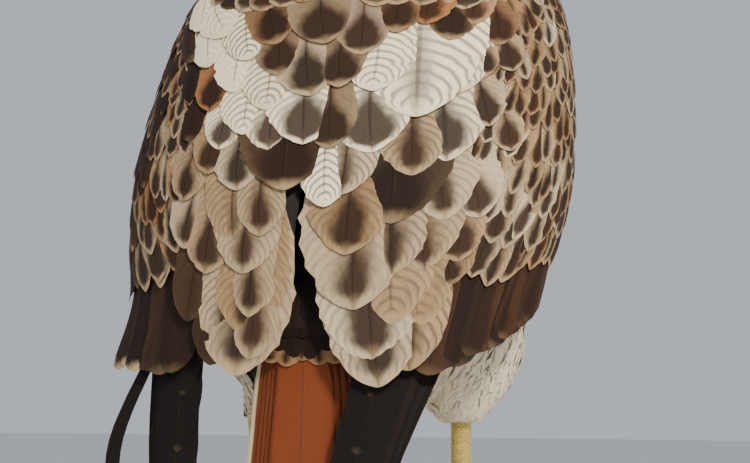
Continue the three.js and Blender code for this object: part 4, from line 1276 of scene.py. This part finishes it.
def bill(materials):
    """The hooked upper bill over a shorter lower one, the cere with its nostrils, and the gape."""
    upper = limb_rings(BILL_UPPER, 32, 44)
    behind = upper[..., 1] > -84
    floor = MOUTH_Z + 0.05 + 0.7 * np.sin((upper[..., 1] + 84) / 8) * behind
    upper[..., 2] = np.where(behind, np.maximum(upper[..., 2], floor), upper[..., 2])
    dress(ring_mesh("bill_upper_horn", upper, materials["bill"]), "bill", "bill_upper")
    lower = limb_rings(BILL_LOWER, 28, 26)
    rim = MOUTH_Z - 0.12 + 0.7 * np.sin(np.maximum(0, lower[..., 1] + 84) / 8)
    lower[..., 2] = np.minimum(lower[..., 2] + 0.6, rim)
    dress(ring_mesh("bill_lower_horn", lower, materials["bill"]), "bill", "bill_lower")
    cere = limb_rings(CERE, 40, 36)
    cere[..., 2] = np.maximum(cere[..., 2], MOUTH_Z + 0.1)
    for side in (1, -1):
        far = np.linalg.norm((cere - mirrored([NOSTRIL], side)) * (1, 0.8, 1.15), axis=-1)
        cere[..., 0] -= side * 2.2 * (1 - blend(far, 0.9, 2.3))
    dress(ring_mesh("cere_skin", cere, materials["cere"]), "skin", "cere")
    for word, side in SIDES.items():
        gape = limb_rings(mirrored(GAPE, side), 12, 18)
        dress(ring_mesh(f"gape_{word}", gape, materials["cere"]), "skin")


def eyeball(word, centre, gaze, turn):
    """A ball that bulges a little in front."""
    rings = []
    for i in range(EYE_RINGS + 1):
        polar = math.pi * (0.02 + 0.96 * i / EYE_RINGS)
        bulge = 0.55 * math.exp(-((polar / 0.62) ** 2))
        ring = []
        for k in range(36):
            around = 2 * math.pi * k / 36
            flat = math.sin(polar)
            spot = Vector((flat * math.cos(around), flat * math.sin(around), math.cos(polar)))
            ring.append(centre + turn @ (spot * (EYE_RADIUS + bulge - 0.3)))
        rings.append(ring)
    ball = ring_mesh(f"eyeball_{word}", rings, eye_material(to_world(np.array(centre)), gaze))
    dress(ball, "eye", f"eye_{word}")


def eyelid(word, centre, gaze, turn, material):
    """A finely wrinkled rim round the eye."""
    rings = []
    for i in range(48):
        around = 2 * math.pi * i / 48
        radial = turn @ Vector((math.cos(around), math.sin(around) * 0.96, 0))
        wrinkle = 0.12 * math.sin(around * 16)
        rings.append([centre + radial * (out + wrinkle) + gaze * ahead for out, ahead in LID_SECTION])
    dress(ring_mesh(f"eyelid_{word}", rings, material, looped=True), "skin")


def eyes(materials):
    """Each eye looks ahead and outwards under a bony brow."""
    for word, side in SIDES.items():
        gaze = Vector((side * 0.9, -0.42, 0.08)).normalized()
        centre = Vector(mirrored([EYE], side)[0]) - gaze * EYE_SUNK
        turn = gaze.to_track_quat("Z", "Y").to_matrix()
        eyeball(word, centre, gaze, turn)
        eyelid(word, centre, gaze, turn, materials["lid"])
        brow = limb_rings(mirrored(BROW, side), 16, 30)
        dress(ring_mesh(f"brow_{word}", brow, materials["brow"]), "skin")


# Where a shank leaves the feathers, and how far its foot stands from the midline
ANKLE = {"left": (49, 34, 84), "right": (57, 34, 84)}
FOOT_X = {"left": 48, "right": 52}
FEET_Y = 12
PERCH_RADIUS = 19
PERCH_LENGTH = 214
# Where a toe starts and ends round the perch (degrees from its top) and across it, its half width,
# the angle that its claw spans and that claw's half width
TOES = [
    {"name": "inner", "start": 12, "end": 92, "x0": -6, "x1": -15, "thick": 5.4, "claw": 52, "nail": 3.5},
    {"name": "middle", "start": 14, "end": 118, "x0": 0, "x1": 0, "thick": 5.2, "claw": 42, "nail": 3},
    {"name": "outer", "start": 12, "end": 100, "x0": 6, "x1": 15, "thick": 4.8, "claw": 38, "nail": 2.8},
    {"name": "hind", "start": -8, "end": -70, "x0": -2, "x1": -5, "thick": 5.6, "claw": 56, "nail": 3.7},
]
# The pad under the shank: how far behind the feet's line, height, two half widths
SOLE = [(1.5, 1.0, 8.5, 8), (1.4, 7, 8.4, 8.2), (1.2, 12, 6.2, 6.8), (1.2, 15, 5.2, 5.8)]


def round_perch(x, angle, out):
    """A point at a height over the perch."""
    reach = PERCH_RADIUS + 0.35 + out
    turn = math.radians(angle)
    return (x, FEET_Y - reach * math.sin(turn), -PERCH_RADIUS + reach * math.cos(turn))


def shank(word, side, material):
    """A bare shank with rows of scutes, widest at the foot."""
    foot = (side * FOOT_X[word], FEET_Y + 1, 8)
    ankle = mirrored([ANKLE[word]], side)[0]
    spots = []
    for t in np.linspace(0, 1, 9):
        swell = 1 + 0.25 * (1 - t) ** 6
        place = [toward(a, b, t) for a, b in zip(foot, ankle)]
        spots.append((*place, (5.4 - 0.6 * t) * swell, (6 + 0.2 * t) * swell))

    def scutes(share, turn):
        front = np.clip(np.sin(turn), 0, 1)
        back = np.clip(-np.sin(turn), 0, 1)
        wave = np.abs(np.sin(share * math.pi * 15))
        return 1 - 0.1 * (1 - wave**0.4) * (front + 0.7 * back)

    rings = limb_rings(spots, 28, 120, scutes)
    dress(ring_mesh(f"shank_{word}", rings, material), "skin", f"tarsus_{word}")


def toe(one, word, side, material):
    """A plated toe bent round the perch, flattened where it presses on the bark."""
    spots = []
    for t in np.linspace(0, 1, 13):
        r = one["thick"] * (1 - 0.22 * t)
        x = side * (FOOT_X[word] + toward(one["x0"], one["x1"], t))
        spots.append((*round_perch(x, toward(one["start"], one["end"], t), r * 0.93), r, r))

    def plates(share, turn):
        wave = np.abs(np.sin(share * math.pi * 13))
        joint = 0.05 * np.cos(share * math.pi * 6)
        return 1 - 0.13 * (1 - wave**0.4) + joint + 0 * turn

    rings = limb_rings(spots, 20, 78, plates)
    reach = np.hypot(rings[..., 1] - FEET_Y, rings[..., 2] + PERCH_RADIUS)
    lift = np.maximum(reach, PERCH_RADIUS + 0.4) / reach
    rings[..., 1] = FEET_Y + (rings[..., 1] - FEET_Y) * lift
    rings[..., 2] = -PERCH_RADIUS + (rings[..., 2] + PERCH_RADIUS) * lift
    dress(ring_mesh(f"toe_{one['name']}_{word}", rings, material), "skin")


def talon(one, word, side, material):
    """A hooked claw that runs on from its toe."""
    way = 1 if one["end"] > 0 else -1
    spots = []
    for t in np.linspace(0, 1, 9):
        r = one["nail"] * (1 - t) ** 0.8 + 0.25
        rise = one["thick"] * 0.78 * (1 - t) + 1.6 * math.sin(math.pi * t) + 0.4
        turn = one["end"] - 3 * way + way * (one["claw"] + 5) * t
        spots.append((*round_perch(side * (FOOT_X[word] + one["x1"]), turn, rise), r * 0.8, r))
    claw = ring_mesh(f"talon_{one['name']}_{word}", limb_rings(spots, 16, 30), material)
    dress(claw, "claw", f"claw_{one['name']}_{word}")


def legs(materials):
    """Shank, toes with their claws, and the pad that joins them, on each side."""
    for word, side in SIDES.items():
        shank(word, side, materials["leg"])
        for one in TOES:
            toe(one, word, side, materials["leg"])
            talon(one, word, side, materials["claw"])
        sole = [(side * FOOT_X[word], FEET_Y + back, z, a, b) for back, z, a, b in SOLE]
        pad = ring_mesh(f"pad_{word}", limb_rings(sole, 24, 20), materials["leg"])
        dress(pad, "skin", f"foot_{word}")


def perch_rings():
    """A cut branch: lumpy bark between two sawn ends."""
    rings = []
    half = PERCH_LENGTH / 2
    ends = [(-half, 0.02), (-half, 0.5), (-half, 0.93), (-half + 0.6, 0.985)]
    spans = [(x, 1.0) for x in np.linspace(-half + 2, half - 2, 90)]
    for x, share in ends + spans + [(-a, s) for a, s in reversed(ends)]:
        ring = []
        for k in range(72):
            turn = 2 * math.pi * k / 72
            spot = Vector((x * 0.02, math.cos(turn) * 1.7, math.sin(turn) * 1.7))
            ridge = noise.fractal(spot * 2.2 + Vector((3, 7, 1)), 0.8, 2.1, 4)
            lump = noise.noise(Vector((x * 0.03, math.cos(turn), math.sin(turn))))
            knot = math.exp(-(((x + 66) / 9) ** 2 + ((turn - 3.9) / 0.35) ** 2))
            sag = -0.55 - 0.7 * abs(ridge) + 0.35 * lump + 1.2 * knot * math.cos(3 * (turn - 3.9))
            r = (PERCH_RADIUS + min(sag, 0.1)) * share
            ring.append((x, FEET_Y + r * math.cos(turn), -PERCH_RADIUS + r * math.sin(turn)))
        rings.append(ring)
    return rings


# The stand, in millimetres over the floor
BASE = {"width": 236, "depth": 196, "height": 16, "corner": 22, "bevel": 2.5}
ROD = {"x": 92, "radius": 4, "bottom": 16, "top": 132}


def base_rings():
    """A board with round corners and a small bevel; z is the height over the floor."""
    def ring(inset, z):
        points = []
        r = BASE["corner"] - inset * 0.6
        w = BASE["width"] / 2 - inset - r
        d = BASE["depth"] / 2 - inset - r
        for cx, cy, start in ((w, -d, -90), (w, d, 0), (-w, d, 90), (-w, -d, 180)):
            for k in range(9):
                a = math.radians(start + 90 * k / 8)
                points.append((cx + r * math.cos(a), cy + r * math.sin(a), z))
        return points

    height = BASE["height"]
    bevel = BASE["bevel"]
    rings = [ring(8, 0.0), ring(1.2, 0.0), ring(0.35, 0.35), ring(0, 1.2)]
    for k in range(5):
        a = math.pi / 2 * k / 4
        rings.append(ring(bevel * (1 - math.cos(a)), height - bevel + bevel * math.sin(a)))
    rings.append(ring(12, height))
    return rings


def stand(materials):
    """The branch, the board, and two rods that run up into the branch."""
    dress(ring_mesh("branch", perch_rings(), materials["bark"]), "bark", "perch")
    board = np.array(base_rings()) - HAWK_ORIGIN / MM
    board = ring_mesh("stand_board", board, materials["wood"])
    dress(board, "stand_wood", "stand_base")
    for word, side in SIDES.items():
        rings = []
        profile = [(0.35, 5.6), (1.6, 7.4), (3.6, 7.4), (4.2, 6.9), (4.4, ROD["radius"])]
        profile += [(z, ROD["radius"]) for z in np.linspace(8, 100, 12)]
        for rise, radius in profile:
            z = ROD["bottom"] + rise
            ring = [
                (side * ROD["x"] + radius * math.cos(a), -10 + radius * math.sin(a), z)
                for a in np.linspace(0, 2 * math.pi, 32, endpoint=False)
            ]
            rings.append(ring)
        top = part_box(f"stand_rod_{word}")[1][2] / MM
        rings.append([(x, y, top) for x, y, z in rings[-1]])
        rod = ring_mesh(f"stand_post_{word}", np.array(rings) - HAWK_ORIGIN / MM, materials["steel"])
        dress(rod, "stand_metal", f"stand_rod_{word}")


# The photo's camera: which way it lies, its right, and what it looks at in the bird's frame
VIEW_BACK = np.array([math.sin(CAMERA_AZIMUTH), -math.cos(CAMERA_AZIMUTH), 0.0])
VIEW_RIGHT = np.array([math.cos(CAMERA_AZIMUTH), math.sin(CAMERA_AZIMUTH), 0.0])
VIEW_TARGET = np.array([0.0, 0.0, (PERCH_PIXEL - IMAGE_SIZE[1] / 2) * MM_PER_PIXEL])
VIEW_TARGET = VIEW_TARGET + VIEW_RIGHT * (IMAGE_SIZE[0] / 2 - MIDLINE_PIXEL) * MM_PER_PIXEL


def camera():
    """The camera whose middle distance shows MM_PER_PIXEL, as in the photo."""
    data = bpy.data.cameras.new("camera")
    data.sensor_width = SENSOR
    data.lens = SENSOR * CAMERA_DISTANCE / (IMAGE_SIZE[0] * MM_PER_PIXEL * MM)
    obj = link("camera", data)
    target = Vector(to_world(VIEW_TARGET))
    obj.location = target + Vector(VIEW_BACK) * CAMERA_DISTANCE
    obj.rotation_euler = (target - obj.location).to_track_quat("-Z", "Y").to_euler()
    bpy.context.scene.camera = obj


def area_light(name, place, aim, size, power, colour=(1, 1, 1)):
    """A round soft light that points at aim."""
    data = bpy.data.lights.new(name, "AREA")
    data.shape = "DISK"
    data.size = size
    data.energy = power
    data.color = colour
    obj = link(name, data)
    obj.location = place
    obj.rotation_euler = (Vector(aim) - Vector(place)).to_track_quat("-Z", "Y").to_euler()


def studio():
    """A plain pale floor, a pale sky for soft light, and three lamps."""
    far = 6
    corners = [(-far, -far, 0), (far, -far, 0), (far, far, 0), (-far, far, 0)]
    floor = add_mesh("floor", corners, [(0, 1, 2, 3)], floor_material())
    world = bpy.data.worlds.new("studio")
    world.use_nodes = True
    background = world.node_tree.nodes["Background"]
    background.inputs["Color"].default_value = (0.86, 0.9, 0.96, 1)
    background.inputs["Strength"].default_value = 0.6
    bpy.context.scene.world = world
    aim = (0, 0, 0.3)
    area_light("key", (-1.5, 1.7, 1.9), aim, 0.45, 100, (1.0, 0.95, 0.87))
    area_light("fill", (1.9, 1.0, 0.9), aim, 1.4, 7, (0.93, 0.96, 1.0))
    area_light("front", (0.6, -2.2, 1.4), aim, 1.4, 30)


def make_materials():
    """Every material of the part, by the word that the pieces ask for."""
    nostril = to_world(NOSTRIL).tolist()
    return {
        "feather": feather_material(),
        "flight": feather_material("flight_feather", 280, BLACK_BROWN, 0.94),
        "tail": tail_material(),
        "down": down_material(),
        "bed": bed_material(),
        "bill": bill_material(),
        "cere": yellow_material("cere_skin", (0.62, 0.5, 0.14), 1400, nostril),
        "leg": yellow_material("leg_scales", (0.56, 0.41, 0.1), 620),
        "lid": yellow_material("lid_skin", (0.07, 0.06, 0.045), 1500),
        "brow": yellow_material("brow_skin", (0.11, 0.075, 0.042), 1800),
        "claw": claw_material(),
        "bark": bark_material(),
        "wood": base_material(),
        "steel": steel_material(),
    }


def build():
    """Every piece of the hawk and its stand."""
    rng = np.random.default_rng(SEED)
    materials = make_materials()
    skin = flesh()
    skin.data.materials.clear()
    skin.data.materials.append(materials["down"])
    dress(skin, "plumage_body", *FLESH)
    for name, coat in plumage(skin, rng).items():
        dress(coat.build(materials["feather"]), "plumage_head" if "head" in name else "plumage_body")
    photo = PhotoMap()
    for word, side in SIDES.items():
        dress(wing_bed(side, word, materials["bed"]), "wing_feathers", f"wing_{word}")
        dress(wing_coverts(side, word, rng).build(materials["feather"]), "wing_feathers")
        dress(primaries(side, word, rng).build(materials["flight"]), "wing_feathers")
    dress(scapulars(photo, rng).build(materials["feather"]), "wing_feathers")
    dress(tail_feathers(rng).build(materials["tail"]), "tail_feathers", "tail")
    dress(tail_coverts(rng).build(materials["feather"]), "tail_feathers")
    bill(materials)
    eyes(materials)
    legs(materials)
    stand(materials)


build()
studio()
camera()
